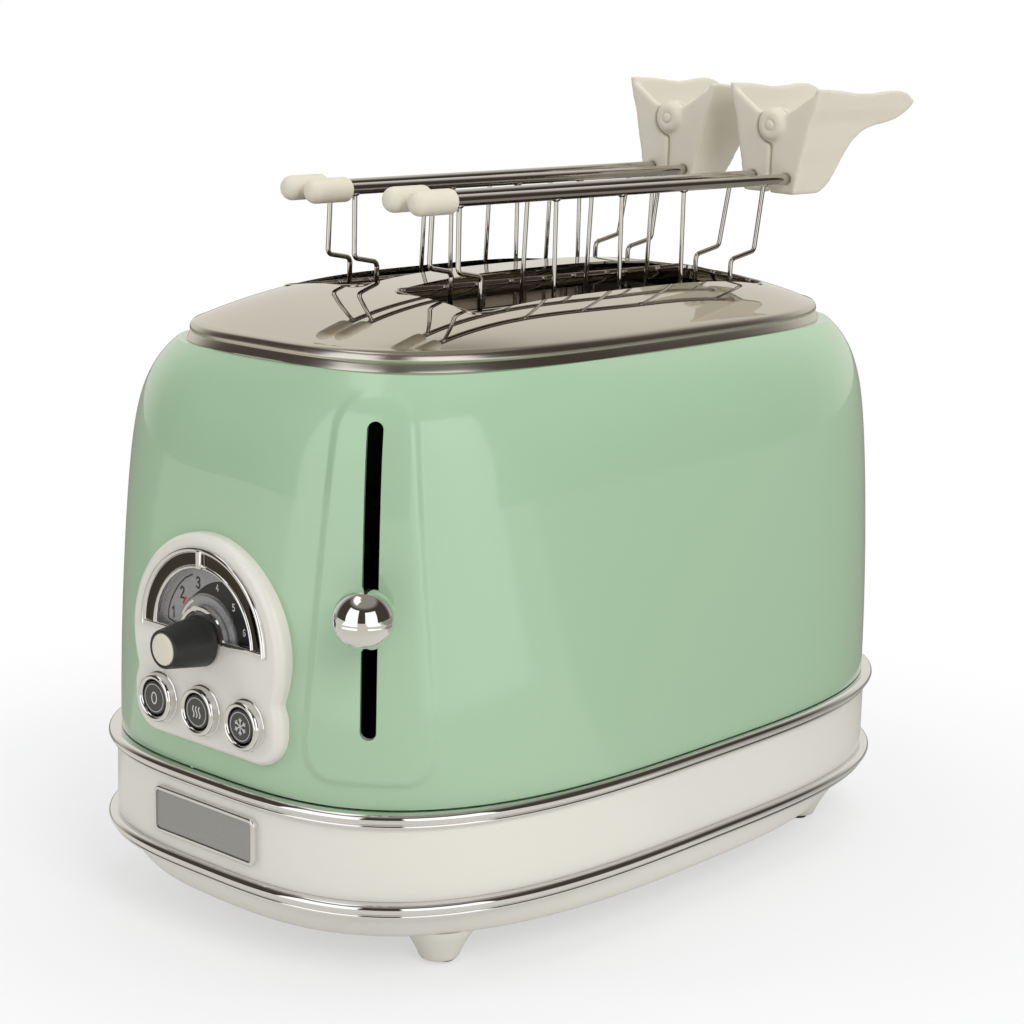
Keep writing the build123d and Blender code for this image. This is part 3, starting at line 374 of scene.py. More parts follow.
def start_tree(name, kind, inputs, outputs):
    """Node group with its sockets, given as (name, type, value); returns it with its two end nodes."""
    tree = bpy.data.node_groups.new(name, kind)
    for label, socket_kind, value in inputs:
        socket = tree.interface.new_socket(label, in_out="INPUT", socket_type=f"NodeSocket{socket_kind}")
        if value is not None:
            socket.default_value = value
    for label, socket_kind in outputs:
        tree.interface.new_socket(label, in_out="OUTPUT", socket_type=f"NodeSocket{socket_kind}")
    return tree, tree.nodes.new("NodeGroupInput"), tree.nodes.new("NodeGroupOutput")


def start_geometry(name, *inputs):
    return start_tree(name, "GeometryNodeTree", (("Geometry", "Geometry", None), *inputs), (("Geometry", "Geometry"),))


def end_geometry(tree, geometry, entry, out):
    """Ends a tree in Realize Instances and Set Material."""
    realize = add_node(tree, "GeometryNodeRealizeInstances", {"Geometry": geometry})
    paint = add_node(tree, "GeometryNodeSetMaterial", {
        "Geometry": realize.outputs["Geometry"], "Material": entry.outputs["Material"],
    })
    feed(tree, out, {"Geometry": paint.outputs["Geometry"]})
    return tree


@kept("round_wire")
def wire_tree(name):
    """Round wire with bends along the edges of its input mesh."""
    tree, entry, out = start_geometry(
        name, ("Wire Radius", "Float", 0.0009), ("Bend Radius", "Float", 0.0022), ("Sides", "Int", 16),
        ("Material", "Material", None),
    )
    path = add_node(tree, "GeometryNodeMeshToCurve", {"Mesh": entry.outputs["Geometry"]})
    bend = add_node(tree, "GeometryNodeFilletCurve", {
        "Curve": path.outputs["Curve"], "Radius": entry.outputs["Bend Radius"], "Limit Radius": True, "Count": 6,
    }, mode="POLY")
    circle = add_node(tree, "GeometryNodeCurvePrimitiveCircle", {
        "Radius": entry.outputs["Wire Radius"], "Resolution": entry.outputs["Sides"],
    })
    tube = add_node(tree, "GeometryNodeCurveToMesh", {
        "Curve": bend.outputs["Curve"], "Profile Curve": circle.outputs["Curve"], "Fill Caps": True,
    })
    return end_geometry(tree, tube.outputs["Mesh"], entry, out)


@kept("stamped_copies")
def stamp_tree(name):
    """Copies of one object on every point of the input mesh."""
    tree, entry, out = start_geometry(
        name, ("Stamp", "Object", None), ("Size", "Float", 1.0), ("Material", "Material", None)
    )
    spots = add_node(tree, "GeometryNodeMeshToPoints", {"Mesh": entry.outputs["Geometry"]})
    info = add_node(tree, "GeometryNodeObjectInfo", {"Object": entry.outputs["Stamp"], "As Instance": True})
    place = add_node(tree, "GeometryNodeInstanceOnPoints", {
        "Points": spots.outputs["Points"], "Instance": info.outputs["Geometry"], "Scale": entry.outputs["Size"],
    })
    return end_geometry(tree, place.outputs["Instances"], entry, out)


def run_tree(piece, tree, values):
    """Runs a geometry tree on a piece with the given inputs and keeps the plain mesh."""
    modifier = piece.modifiers.new(tree.name, "NODES")
    modifier.node_group = tree
    for item in tree.interface.items_tree:
        if item.in_out == "INPUT" and item.name in values:
            modifier[item.identifier] = values[item.name]
    piece.update_tag()
    settle(piece)
    smooth(piece.data, 40)
    return piece


def edge_object(name, chains):
    """Object of loose edge chains, in metres."""
    points = []
    edges = []
    for chain in chains:
        start = len(points)
        points.extend(tuple(p) for p in chain)
        edges.extend((start + k, start + k + 1) for k in range(len(chain) - 1))
    mesh = bpy.data.meshes.new(name)
    mesh.from_pydata(points, edges, [])
    return new_object(name, mesh)


def wires(name, chains, radius, material, bend=0.0022, sides=16):
    values = {"Wire Radius": radius, "Bend Radius": bend, "Sides": sides, "Material": material}
    return run_tree(edge_object(name, chains), wire_tree(), values)


def stamped(name, stamp, spots, material):
    """Copies of the stamp at the spots; the stamp is removed."""
    piece = edge_object(name, [[spot] for spot in spots])
    run_tree(piece, stamp_tree(), {"Stamp": stamp, "Size": 1.0, "Material": material})
    bpy.data.objects.remove(stamp)
    return piece


# Materials


def start_shading(name, inputs, outputs):
    return start_tree(name, "ShaderNodeTree", inputs, outputs)


def calculate(tree, operation, *values):
    """Result of a math node; each value is a number or a socket."""
    return add_node(tree, "ShaderNodeMath", dict(enumerate(values)), operation=operation).outputs["Value"]


def mixed(tree, factor, first, second):
    """Colour between two colours, each one four numbers or a socket."""
    inputs = {"Factor": factor, "A": first, "B": second}
    return add_node(tree, "ShaderNodeMix", inputs, data_type="RGBA").outputs["Result"]


def ranged(tree, value, low, high, start=0.0, end=1.0, ease="SMOOTHSTEP"):
    """Value that goes from start to end between low and high."""
    inputs = {"Value": value, "From Min": low, "From Max": high, "To Min": start, "To Max": end}
    return add_node(tree, "ShaderNodeMapRange", inputs, interpolation_type=ease).outputs["Result"]


@kept("surface_breakup")
def breakup_group(name):
    """Noise between a low and a high value, for roughness that changes over the surface."""
    inputs = (("Scale", "Float", 40.0), ("Low", "Float", 0.1), ("High", "Float", 0.2))
    tree, entry, out = start_shading(name, inputs, (("Value", "Float"), ("Mask", "Float")))
    noise = add_node(tree, "ShaderNodeTexNoise", {
        "Vector": add_node(tree, "ShaderNodeTexCoord").outputs["Object"], "Scale": entry.outputs["Scale"],
        "Detail": 5.0, "Roughness": 0.6,
    }).outputs["Fac"]
    value = ranged(tree, noise, 0.3, 0.7, entry.outputs["Low"], entry.outputs["High"], "LINEAR")
    feed(tree, out, {"Value": value, "Mask": noise})
    return tree


@kept("brushed_lines")
def brushed_group(name):
    """Fine lines from noise stretched along one direction."""
    inputs = (("Stretch", "Vector", (4000.0, 30.0, 4000.0)), ("Low", "Float", 0.1), ("High", "Float", 0.2))
    tree, entry, out = start_shading(name, inputs, (("Value", "Float"), ("Mask", "Float")))
    stretched = add_node(tree, "ShaderNodeVectorMath", {
        0: add_node(tree, "ShaderNodeTexCoord").outputs["Object"], 1: entry.outputs["Stretch"],
    }, operation="MULTIPLY")
    noise = add_node(tree, "ShaderNodeTexNoise", {
        "Vector": stretched.outputs["Vector"], "Scale": 1.0, "Detail": 3.0,
    }).outputs["Fac"]
    value = ranged(tree, noise, 0.25, 0.75, entry.outputs["Low"], entry.outputs["High"], "LINEAR")
    feed(tree, out, {"Value": value, "Mask": noise})
    return tree


@kept("shade_drift")
def tint_group(name):
    """Colour that drifts a little between two near shades."""
    inputs = (("Shade A", "Color", None), ("Shade B", "Color", None), ("Scale", "Float", 20.0))
    tree, entry, out = start_shading(name, inputs, (("Colour", "Color"),))
    noise = add_node(tree, "ShaderNodeTexNoise", {
        "Vector": add_node(tree, "ShaderNodeTexCoord").outputs["Object"], "Scale": entry.outputs["Scale"],
        "Detail": 4.0,
    }).outputs["Fac"]
    feed(tree, out, {"Colour": mixed(tree, noise, entry.outputs["Shade A"], entry.outputs["Shade B"])})
    return tree


def drifting(tree, shade, drift, scale):
    """Output of the tint group with the shade a little darker and lighter."""
    dark, light = ([min(1.0, channel * share) for channel in shade[:3]] + [1.0] for share in (1 - drift, 1 + drift))
    inputs = {"Shade A": dark, "Shade B": light, "Scale": scale}
    return add_node(tree, "ShaderNodeGroup", inputs, node_tree=tint_group()).outputs["Colour"]


def surface(name, shade, rough, metallic=0.0, coat=0.0, coat_rough=0.03, drift=0.04, drift_scale=25.0,
            breakup_scale=60.0, bump=0.0, bump_scale=900.0, brushed=None):
    """Material from the shared groups: drifting shade, broken-up roughness and a fine bump."""
    name = f"finish_{name}"  # the frame's own plain materials have the short names
    if name in bpy.data.materials:
        return bpy.data.materials[name]
    material = bpy.data.materials.new(name)
    material.use_nodes = True
    tree = material.node_tree
    inputs = {"Low": rough[0], "High": rough[1]}
    if brushed:
        worn = add_node(tree, "ShaderNodeGroup", {"Stretch": brushed, **inputs}, node_tree=brushed_group())
        height = worn.outputs["Mask"]
    else:
        worn = add_node(tree, "ShaderNodeGroup", {"Scale": breakup_scale, **inputs}, node_tree=breakup_group())
        grain = add_node(tree, "ShaderNodeGroup", {"Scale": bump_scale}, node_tree=breakup_group())
        height = grain.outputs["Mask"]
    shader = tree.nodes["Principled BSDF"]
    feed(tree, shader, {
        "Metallic": metallic, "Coat Weight": coat, "Coat Roughness": coat_rough,
        "Base Color": drifting(tree, shade, drift, drift_scale), "Roughness": worn.outputs["Value"],
    })
    if bump:
        relief = add_node(tree, "ShaderNodeBump", {"Strength": 1.0, "Distance": bump, "Height": height})
        feed(tree, shader, {"Normal": relief.outputs["Normal"]})
    return material


def enamel():
    return surface("mint_enamel", colours().enamel, (0.30, 0.34), coat=1.0, coat_rough=0.035, drift=0.006,
                   drift_scale=6.0, breakup_scale=12.0, bump=0.0000015, bump_scale=120.0)


def dome_steel(name="dome_steel"):
    return surface(name, colours().steel, (0.02, 0.04), metallic=1.0, drift=0.015, breakup_scale=20.0)


def top_steel():
    """Steel of the top: a mirror on the dome, satin on the rolled lip below it."""
    material = dome_steel("top_steel")
    tree = material.node_tree
    place = add_node(tree, "ShaderNodeTexCoord").outputs["Object"]
    height = add_node(tree, "ShaderNodeSeparateXYZ", {"Vector": place}).outputs["Z"]
    satin = ranged(tree, height, 0.2038, 0.2046, 0.22, 0.0, "LINEAR")
    rough = tree.nodes["Principled BSDF"].inputs["Roughness"]
    tree.links.new(calculate(tree, "ADD", satin, rough.links[0].from_socket), rough)
    return material


def chrome():
    return surface("mirror_chrome", colours().chrome, (0.02, 0.06), metallic=1.0, drift=0.02,
                   breakup_scale=35.0, bump=0.000002, bump_scale=120.0)


@kept("frame_channel")
def painted_reflection_mask_group(name):
    """Mask of the flat channel between the two beads of the dial frame, without its tick and foot bar, where a dark
    reflection is painted.
    """
    tree, _, out = start_shading(name, (), (("Mask", "Float"),))
    flat = add_node(tree, "ShaderNodeVectorMath", {
        0: add_node(tree, "ShaderNodeTexCoord").outputs["Object"], 1: (1.0, 0.0, 1.0),
        2: (0.0, 0.0, -FRAME_Z * MM),
    }, operation="MULTIPLY_ADD").outputs["Vector"]
    reach = add_node(tree, "ShaderNodeVectorMath", {0: flat}, operation="LENGTH").outputs["Value"]
    parts = add_node(tree, "ShaderNodeSeparateXYZ", {"Vector": flat}).outputs
    mask = calculate(tree, "GREATER_THAN", reach, 25.1 * MM)
    for value, operation, limit in (
        (reach, "LESS_THAN", 29.0),
        (calculate(tree, "ABSOLUTE", parts["X"]), "GREATER_THAN", 1.4),
        (parts["Z"], "GREATER_THAN", 1.7),
    ):
        mask = calculate(tree, "MULTIPLY", mask, calculate(tree, operation, value, limit * MM))
    feed(tree, out, {"Mask": mask})
    return tree


def frame_chrome():
    """Chrome of the dial frame with a painted dark reflection in the channel between its beads."""
    material = surface("frame_chrome", colours().chrome, (0.02, 0.06), metallic=1.0, drift=0.02, breakup_scale=35.0)
    tree = material.node_tree
    channel = add_node(tree, "ShaderNodeGroup", node_tree=painted_reflection_mask_group()).outputs["Mask"]
    base = tree.nodes["Principled BSDF"].inputs["Base Color"]
    # painted reflection: the channel's base colour goes to the dark brown of the dim studio
    tree.links.new(mixed(tree, channel, base.links[0].from_socket, (0.055, 0.048, 0.036, 1.0)), base)
    return material


def gloss_cream():
    return surface("gloss_cream", colours().cream, (0.28, 0.38), coat=0.6, coat_rough=0.08, drift=0.012,
                   drift_scale=12.0, bump=0.000005, bump_scale=400.0)


def matte_cream():
    return surface("moulded_cream", colours().tong_cream, (0.42, 0.55), drift=0.02, drift_scale=60.0,
                   bump=0.00003, bump_scale=1600.0)


def satin_black():
    return surface("satin_black", (0.018, 0.018, 0.017), (0.32, 0.45), drift=0.1, bump=0.00001, bump_scale=1500.0)


def dial_grey():
    return surface("dial_grey", (0.33, 0.33, 0.33), (0.22, 0.34), drift=0.05, drift_scale=500.0, metallic=0.25,
                   breakup_scale=500.0)


def print_black():
    return surface("print_black", (0.012, 0.012, 0.012), (0.35, 0.45), drift=0.1)


def print_light():
    return surface("print_light", (0.62, 0.62, 0.60), (0.35, 0.45), drift=0.02)


def print_red():
    return surface("print_red", (0.48, 0.03, 0.05), (0.35, 0.45), drift=0.04)


def key_dark():
    return surface("key_dark", (0.040, 0.038, 0.036), (0.25, 0.35), coat=0.4, drift=0.08, bump=0.000006)


def wire_steel():
    return surface("wire_steel", (0.60, 0.58, 0.54), (0.06, 0.12), metallic=1.0, drift=0.05, drift_scale=200.0,
                   breakup_scale=300.0, bump=0.000002, bump_scale=2500.0)


def sheet_steel():
    return surface("sheet_steel", (0.42, 0.42, 0.41), (0.22, 0.38), metallic=1.0, drift=0.10, drift_scale=90.0,
                   breakup_scale=120.0, bump=0.000006)


# Darker brownish steel for the plates down inside the slots
def oven_steel():
    return surface("oven_steel", (0.17, 0.145, 0.12), (0.35, 0.5), metallic=0.8, drift=0.12, drift_scale=90.0,
                   breakup_scale=120.0, bump=0.000006)


def spring_steel():
    return surface("spring_steel", (0.30, 0.30, 0.30), (0.25, 0.35), metallic=1.0, drift=0.06)


def mica():
    return surface("mica_board", (0.50, 0.42, 0.31), (0.35, 0.6), drift=0.18, drift_scale=160.0,
                   breakup_scale=250.0, bump=0.00003, bump_scale=350.0)


def heater_metal():
    return surface("heater_metal", (0.17, 0.13, 0.105), (0.30, 0.45), metallic=0.9, drift=0.2, drift_scale=60.0,
                   bump=0.00001)


def rubber():
    return surface("pad_rubber", (0.022, 0.022, 0.022), (0.7, 0.85), drift=0.1, bump=0.00003, bump_scale=1400.0)


def laminate():
    return surface("board_laminate", (0.012, 0.085, 0.035), (0.25, 0.4), coat=0.3, drift=0.1, drift_scale=300.0,
                   bump=0.00001, bump_scale=700.0)


def moulded_black():
    return surface("moulded_black", (0.025, 0.025, 0.027), (0.40, 0.55), drift=0.12, bump=0.00002)


def badge_steel():
    return surface("badge_steel", (0.40, 0.40, 0.395), (0.25, 0.36), metallic=0.9, drift=0.04,
                   brushed=(60.0, 3000.0, 3000.0), bump=0.000003)


FINISHES = (
    (sheet_steel, "base_screws chassis_base crumb_tray carriage latch_plate bread_racks lever_arm"),
    (oven_steel, "front_plate rear_plate oven_floor heat_shields"),
    (gloss_cream, "base_tray crumb_tray_front"),
    (moulded_black, "board_components browning_control latch_magnet"),
    (satin_black, "cord_gland lever_stem"),
    (key_dark, "cancel_button reheat_button defrost_button"),
    (dial_grey, "dial_face pointer_disc"),
    (rubber, "foot_pads"),
    (laminate, "circuit_board"),
    (mica, "heater_boards"),
    (wire_steel, "guide_rod"),
    (matte_cream, "knob_shaft"),
    (chrome, "badge_frame"),
    (badge_steel, "badge_plate"),
)


class TOASTER_OT_paint_nodes(bpy.types.Operator):
    """Give every carried-over solid its finish"""

    bl_idname = "toaster.paint_nodes"
    bl_label = "Finish the solids"

    def execute(self, context):
        for maker, names in FINISHES:
            for name in names.split():
                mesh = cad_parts[name].data
                mesh.materials.clear()
                mesh.materials.append(maker())
                smooth(mesh, 32)
        return {"FINISHED"}


# Body

LEVER_TURN = radians(37.0)
LEVER_FOOT = Vector((0.0613, -0.1343, 0.0))
LEVER_ACROSS = Vector((cos(LEVER_TURN), sin(LEVER_TURN), 0.0))
LEVER_OUT = Vector((sin(LEVER_TURN), -cos(LEVER_TURN), 0.0))
FIELD_EDGE = 1.6  # half width in mm of the slope round the lever's field
SHELL_WALL = 0.0012
SLOTS = {"right": 28.0, "left": -28.0}
SLOT_Y = 6.0
SLOT_HALF = (19.5, 80.0)
SLOT_CORNER = 4.0


def shell_inset(t):
    """How far the shell is drawn in at a share of its height."""
    return (7.4 * t**1.9 + 5.8 * t**10 + 9.6 * t**11) * MM


def shell_power(t):
    return SHELL_POWER + 0.85 * t**10


def shell_angles():
    """Angles round the shell, close together across the lever's field."""
    middle, reach = radians(-65.5), radians(13.0)
    fine = np.linspace(middle - reach, middle + reach, 150, endpoint=False)
    coarse = np.linspace(middle + reach, middle - reach + 2 * pi, 240, endpoint=False)
    return np.concatenate((fine, coarse))


def field_outline():
    """Outline of the raised field round the lever slot, in the lever's plane."""
    half_top, half_foot, top, foot = 13.5, 21.5, 194.0, 69.0
    top_radius, foot_radius, rise = 13.2, 9.0, 4.0
    slope = (half_foot - half_top) / (top - foot)
    right = arc((half_foot - foot_radius * 1.06, foot + foot_radius), foot_radius, -90, 3)
    right.append((half_foot - slope * rise, foot + foot_radius + rise))
    right += arc((0.0, top - top_radius), top_radius, 3.5, 90, 16)
    return np.array(right + [(-x, z) for x, z in reversed(right)])


def outline_distance(points, outline):
    """Signed distance of points from a closed outline, positive inside."""
    best = np.full(len(points), 1e9)
    inside = np.zeros(len(points), bool)
    for a, d in zip(outline, np.roll(outline, -1, axis=0) - outline):
        span = d @ d
        if span < 1e-12:
            continue
        t = np.clip(((points - a) @ d) / span, 0.0, 1.0)
        gap = points - a - np.outer(t, d)
        best = np.minimum(best, np.hypot(gap[:, 0], gap[:, 1]))
        crosses = (a[1] > points[:, 1]) != (a[1] + d[1] > points[:, 1])
        if abs(d[1]) > 1e-12:
            inside ^= crosses & (points[:, 0] < a[0] + (points[:, 1] - a[1]) * d[0] / d[1])
    return np.where(inside, best, -best)


def lever_prism(name, outline, low, high):
    """Prism in the lever's plane from low to high along its outward direction, in mm."""
    ends = []
    for along in (low, high):
        out = LEVER_FOOT + LEVER_OUT * (along * MM)
        ends.append([out + LEVER_ACROSS * (x * MM) + Vector((0, 0, z * MM)) for x, z in outline])
    return prism(name, *ends)


def slot_shape(half_width, low, high, steps=16):
    ends = ((high - half_width, 0), (low + half_width, 180))
    return [p for z, start in ends for p in arc((0.0, z), half_width, start, start + 180, steps)]


def turn_points(centre, radius, first, last, count, endpoint=True):
    """Points round a centre between two angles in radians."""
    return [centre + radius * np.array((cos(a), sin(a))) for a in np.linspace(first, last, count, endpoint=endpoint)]


def panel_outline(inset):
    """Snowman outline of the control panel, (x, z) in mm, drawn in by inset."""
    disc, lobe, low = np.array((0.0, 105.0)), np.array((24.8, 85.0)), np.array((24.8, 81.5))
    big, corner, waist = 37.5, 12.0, 4.0
    span = np.hypot(*(lobe - disc))
    far, near = big + waist, corner + waist
    along = (span**2 + far**2 - near**2) / (2 * span)
    aside = (far**2 - along**2) ** 0.5
    unit = (lobe - disc) / span
    middle = disc + unit * along + np.array((-unit[1], unit[0])) * aside
    to_disc, to_lobe = middle - disc, middle - lobe
    first = atan2(-to_disc[1], -to_disc[0])
    last = first + (atan2(-to_lobe[1], -to_lobe[0]) - first) % (2 * pi)
    if last - first > pi:
        last -= 2 * pi
    right = turn_points(disc, big - inset, pi / 2, atan2(to_disc[1], to_disc[0]), 40, False)
    right += turn_points(middle, waist + inset, first, last, 9)
    right += turn_points(lobe, corner - inset, atan2(to_lobe[1], to_lobe[0]), 0.0, 9)[1:]
    right += turn_points(low, corner - inset, 0.0, -pi / 2, 17)
    return [tuple(p) for p in right + [np.array((-p[0], p[1])) for p in reversed(right[1:])]]


class TOASTER_OT_shell(bpy.types.Operator):
    """Enamelled loaf-shaped shell with the raised field round the lever slot"""

    bl_idname = "toaster.shell"
    bl_label = "Enamelled shell"

    def execute(self, context):
        size = body_sizes()
        half = (size.foot_half_length, size.foot_half_width)
        height = size.rim_z - size.foot_z
        outline = field_outline()
        angles = shell_angles()
        steps, inner_steps, seam = 150, 24, 0.0003
        rows = [plan_row(size.foot_z, half, 0.0005, SHELL_POWER, angles)]
        for k in range(steps + 1):
            t = k / steps
            z = size.foot_z + seam + t * (height - seam)
            row = plan_row(z, half, shell_inset(t), shell_power(t), angles)
            rel = row - np.array(LEVER_FOOT)
            across = rel @ np.array(LEVER_ACROSS) / MM
            near = (rel @ np.array(LEVER_OUT) / MM > -40.0) & (np.abs(across) < 40.0)
            gap = np.full(len(angles), -99.0)
            gap[near] = outline_distance(np.column_stack((across, row[:, 2] / MM))[near], outline)
            ease = np.clip((gap + FIELD_EDGE) / (2 * FIELD_EDGE), 0.0, 1.0)
            ease = ease * ease * (3.0 - 2.0 * ease)
            rows.append(row + np.outer(ease * size.field_raise, np.array(LEVER_OUT)))
        rows.append(top_row(size.rim_half_width - MM, size.rim_half_length - MM, size.rim_z, angles))
        for k in range(inner_steps, -1, -1):
            t = k / inner_steps
            z = size.foot_z + t * (height - SHELL_WALL)
            rows.append(plan_row(z, half, shell_inset(t) + SHELL_WALL, shell_power(t), angles))
        shell = skinned("enamel_shell", rows, closed=True)
        slot = lever_prism("slot_cutter", slot_shape(2.65, 84.0, 185.0), -15, 15)
        panel = plate_between("panel_cutter", panel_outline(5.0), -160.0, -139.0)
        gland = front_turned("gland_cutter", ((6.1, 0.0), (6.1, 14.0)), 0, 142, 74)
        cut(shell, slot, panel, gland)
        finish(shell, enamel(), "housing", "enamel", "body_shell")
        return {"FINISHED"}


# Rolled lip of the steel top: (growth of the rim in mm, height in mm), from the shoulder down and back inside
LIP = (
    (-1.9, 204.15), (-1.45, 203.6), (-1.15, 202.9), (-1.0, 202.15), (-1.0, 201.6), (-1.3, 201.2), (-1.38, 200.9),
    (-1.15, 200.6), (-0.95, 200.2), (-0.7, 199.7), (-0.4, 199.1), (-0.12, 198.5), (0.0, 198.15), (-0.15, 197.9),
    (-0.6, 197.8), (-1.3, 198.2), (-2.2, 201.0), (-2.6, 202.4), (-3.6, 203.4),
)
# Rolled edge of a bread slot: (growth of the slot in mm, height over the dome in mm)
COLLAR = (
    (0.75, 0.15), (0.55, 0.42), (0.2, 0.55), (-0.1, 0.4), (-0.25, 0.0), (-0.25, -4.6), (-0.1, -4.7), (0.1, -4.7),
    (0.25, -4.6), (0.3, -0.6), (0.75, -0.5),
)


def slot_outline(x, grow=0.0, steps=10):
    return rounded_rectangle(x, SLOT_Y, SLOT_HALF[0] + grow, SLOT_HALF[1] + grow, SLOT_CORNER + grow, steps)


def dome_height(x, y):
    """Height in mm of the dome's outer face at a point in mm."""
    size = body_sizes()
    share = (abs(x * MM) / size.rim_half_width) ** DOME_POWER + (abs(y * MM) / size.rim_half_length) ** DOME_POWER
    return (size.crown_z - DOME_DROP * share ** (3 / DOME_POWER)) / MM


class TOASTER_OT_steel_top(bpy.types.Operator):
    """Domed steel top with its rolled lip and the two bread slots"""

    bl_idname = "toaster.steel_top"
    bl_label = "Steel top"

    def execute(self, context):
        size = body_sizes()
        half_x, half_y = size.rim_half_width, size.rim_half_length
        shares = np.linspace(0.004, 1.0, 111)

        def dome(crown, some):
            return [top_row(half_x * r, half_y * r, crown - DOME_DROP * r**3) for r in some]

        rows = dome(size.crown_z, shares[shares < 0.965])
        rows += [top_row(half_x + grow * MM, half_y + grow * MM, z * MM) for grow, z in LIP]
        rows += dome(size.crown_z - 0.0008, shares[shares < 0.945][::-1])
        top = skinned("steel_top", rows, 50)
        cutters = [upright(f"{side}_slot_cutter", slot_outline(x), 190, 230) for side, x in SLOTS.items()]
        cut(top, *cutters, sharp=50)
        finish(top, top_steel(), "housing", "dome_steel", "top_plate")
        return {"FINISHED"}


class TOASTER_OT_slot_collars(bpy.types.Operator):
    """Folded steel collars inside the bread slots"""

    bl_idname = "toaster.slot_collars"
    bl_label = "Slot collars"

    def execute(self, context):
        for side, slot_x in SLOTS.items():
            rows = []
            for grow, rise in COLLAR:
                rows.append([at(x, y, dome_height(x, y) + rise) for x, y in slot_outline(slot_x, grow, 12)])
            collar = skinned(f"{side}_slot_collar", rows, 60, closed=True)
            finish(collar, dome_steel(), "housing", "dome_steel")
        return {"FINISHED"}


# Base

RING_HALF = (0.1535, 0.09999)
UPPER_HALF = (0.1530, 0.0999)
RING_HEIGHT = 0.0055


def ring_rows(z0, half):
    """Rows of a chrome ring: a full upper bead, a groove and a smaller second bead, then its inside."""
    z1 = z0 + RING_HEIGHT
    hole, foot = 0.0045, 0.0008
    radius = (RING_HEIGHT - 2 * foot) / 2
    rows = [plan_row(z1 - 0.0001, half, hole), plan_row(z1, half, 0.0019)]
    for middle, bulge, inset, steps in ((z1 - radius, radius, 0.0, 24), (z0 + foot, foot, 0.0014, 12)):
        for k in range(steps + 1):
            a = pi / 2 - pi * k / steps
            rows.append(plan_row(middle + bulge * sin(a), half, inset + bulge * (1 - cos(a))))
    return rows + [plan_row(z0, half, hole)]


class TOASTER_OT_chrome_rings(bpy.types.Operator):
    """Polished rings above and below the cream band"""

    bl_idname = "toaster.chrome_rings"
    bl_label = "Chrome rings"

    def execute(self, context):
        for name, z, half in (("upper_chrome_ring", 0.055, UPPER_HALF), ("lower_chrome_ring", 0.0246, RING_HALF)):
            ring = skinned(f"polished_{name}", ring_rows(z, half), 50, closed=True)
            finish(ring, chrome(), "housing", "chrome", name)
        return {"FINISHED"}


class TOASTER_OT_base_band(bpy.types.Operator):
    """Cream band between the two rings, with the crumb tray's opening at the back"""

    bl_idname = "toaster.base_band"
    bl_label = "Base band"

    def execute(self, context):
        low, high = 0.0301, 0.055
        shares = [k / 24 for k in range(25)]
        rows = []
        for t, inset in [(t, 0.003 - 0.0002 * t) for t in shares] + [(t, 0.0052) for t in reversed(shares)]:
            half = [a * (1 - t) + b * t for a, b in zip(RING_HALF, UPPER_HALF)]
            rows.append(plan_row(low + t * (high - low), half, inset))
        band = skinned("cream_band", rows, 40, closed=True)
        cut(band, rounded_box("door_cutter", (-60, 130, 34), (60, 170, 51), 0.001, 2), sharp=40)
        finish(band, gloss_cream(), "housing", "cream_gloss", "base_band")
        return {"FINISHED"}


class TOASTER_OT_cream_feet(bpy.types.Operator):
    """Tapered cream feet with rounded toes"""

    bl_idname = "toaster.cream_feet"
    bl_label = "Cream feet"

    def execute(self, context):
        profile = ((2.0, 1.1), (5.2, 1.1), (6.4, 1.4), (7.0, 2.2), (7.5, 3.6), (9.2, 7.0), (11.2, 10.4), (12.0, 12.2),
                   (12.0, 13.4), (8.0, 13.6))
        spots = [at(x, y, 0.0) for x in (-62.8, 62.8) for y in (-102.2, 102.2)]
        feet = join("cream_feet", [turned("foot", profile, spot, (0, 0, 1), 64, 40) for spot in spots], 40)
        finish(feet, gloss_cream(), "housing", "cream_gloss", "feet")
        return {"FINISHED"}


class TOASTER_OT_lever_ball(bpy.types.Operator):
    """Polished ball on the lever's stem, with a fine seam near its middle"""

    bl_idname = "toaster.lever_ball"
    bl_label = "Lever ball"

    def execute(self, context):
        radius, steps = 9.9, 72
        seam, seam_half, seam_depth = 0.6, 0.24, 0.1
        profile = []
        for k in range(1, steps):
            along = -radius * cos(pi * k / steps)
            groove = seam_depth if abs(along - seam) < seam_half else 0.0
            profile.append((radius * sin(pi * k / steps) - groove, along))
        ball = turned("polished_lever_ball", profile, (0.06924, -0.14484, 0.1266), (0, 0, -1), 96, 60)
        finish(ball, chrome(), "lever_carriage", "chrome", "lever_ball")
        return {"FINISHED"}


# Control end

PANEL_Y = -151.0
DIAL_Z = 107.0
FRAME_Z = DIAL_Z + 0.2
FACE_Y = PANEL_Y + 2.4
BUTTONS = {"cancel": -21.8, "reheat": 0.0, "defrost": 21.8}
BUTTON_Z = 83.0
# Section of the half-moon frame, (radius, depth) in mm: outer bead, flat channel, inner bead
FRAME_SECTION = (
    (30.95, 2.4), (31.0, -0.5), (30.8, -1.0), (30.4, -1.3), (29.9, -1.35), (29.5, -1.2), (29.25, -0.85),
    (29.1, -0.45), (28.9, -0.4), (25.2, -0.3), (25.0, -0.35), (24.85, -0.6), (24.6, -0.8), (24.3, -0.85),
    (24.0, -0.75), (23.75, -0.45), (23.6, 0.2), (23.5, 1.1), (23.5, 2.4),
)
HOOD_SECTION = ((11.4, 1.2), (11.4, -0.6), (11.0, -1.0), (9.9, -1.0), (9.5, -0.6), (9.5, 1.2))


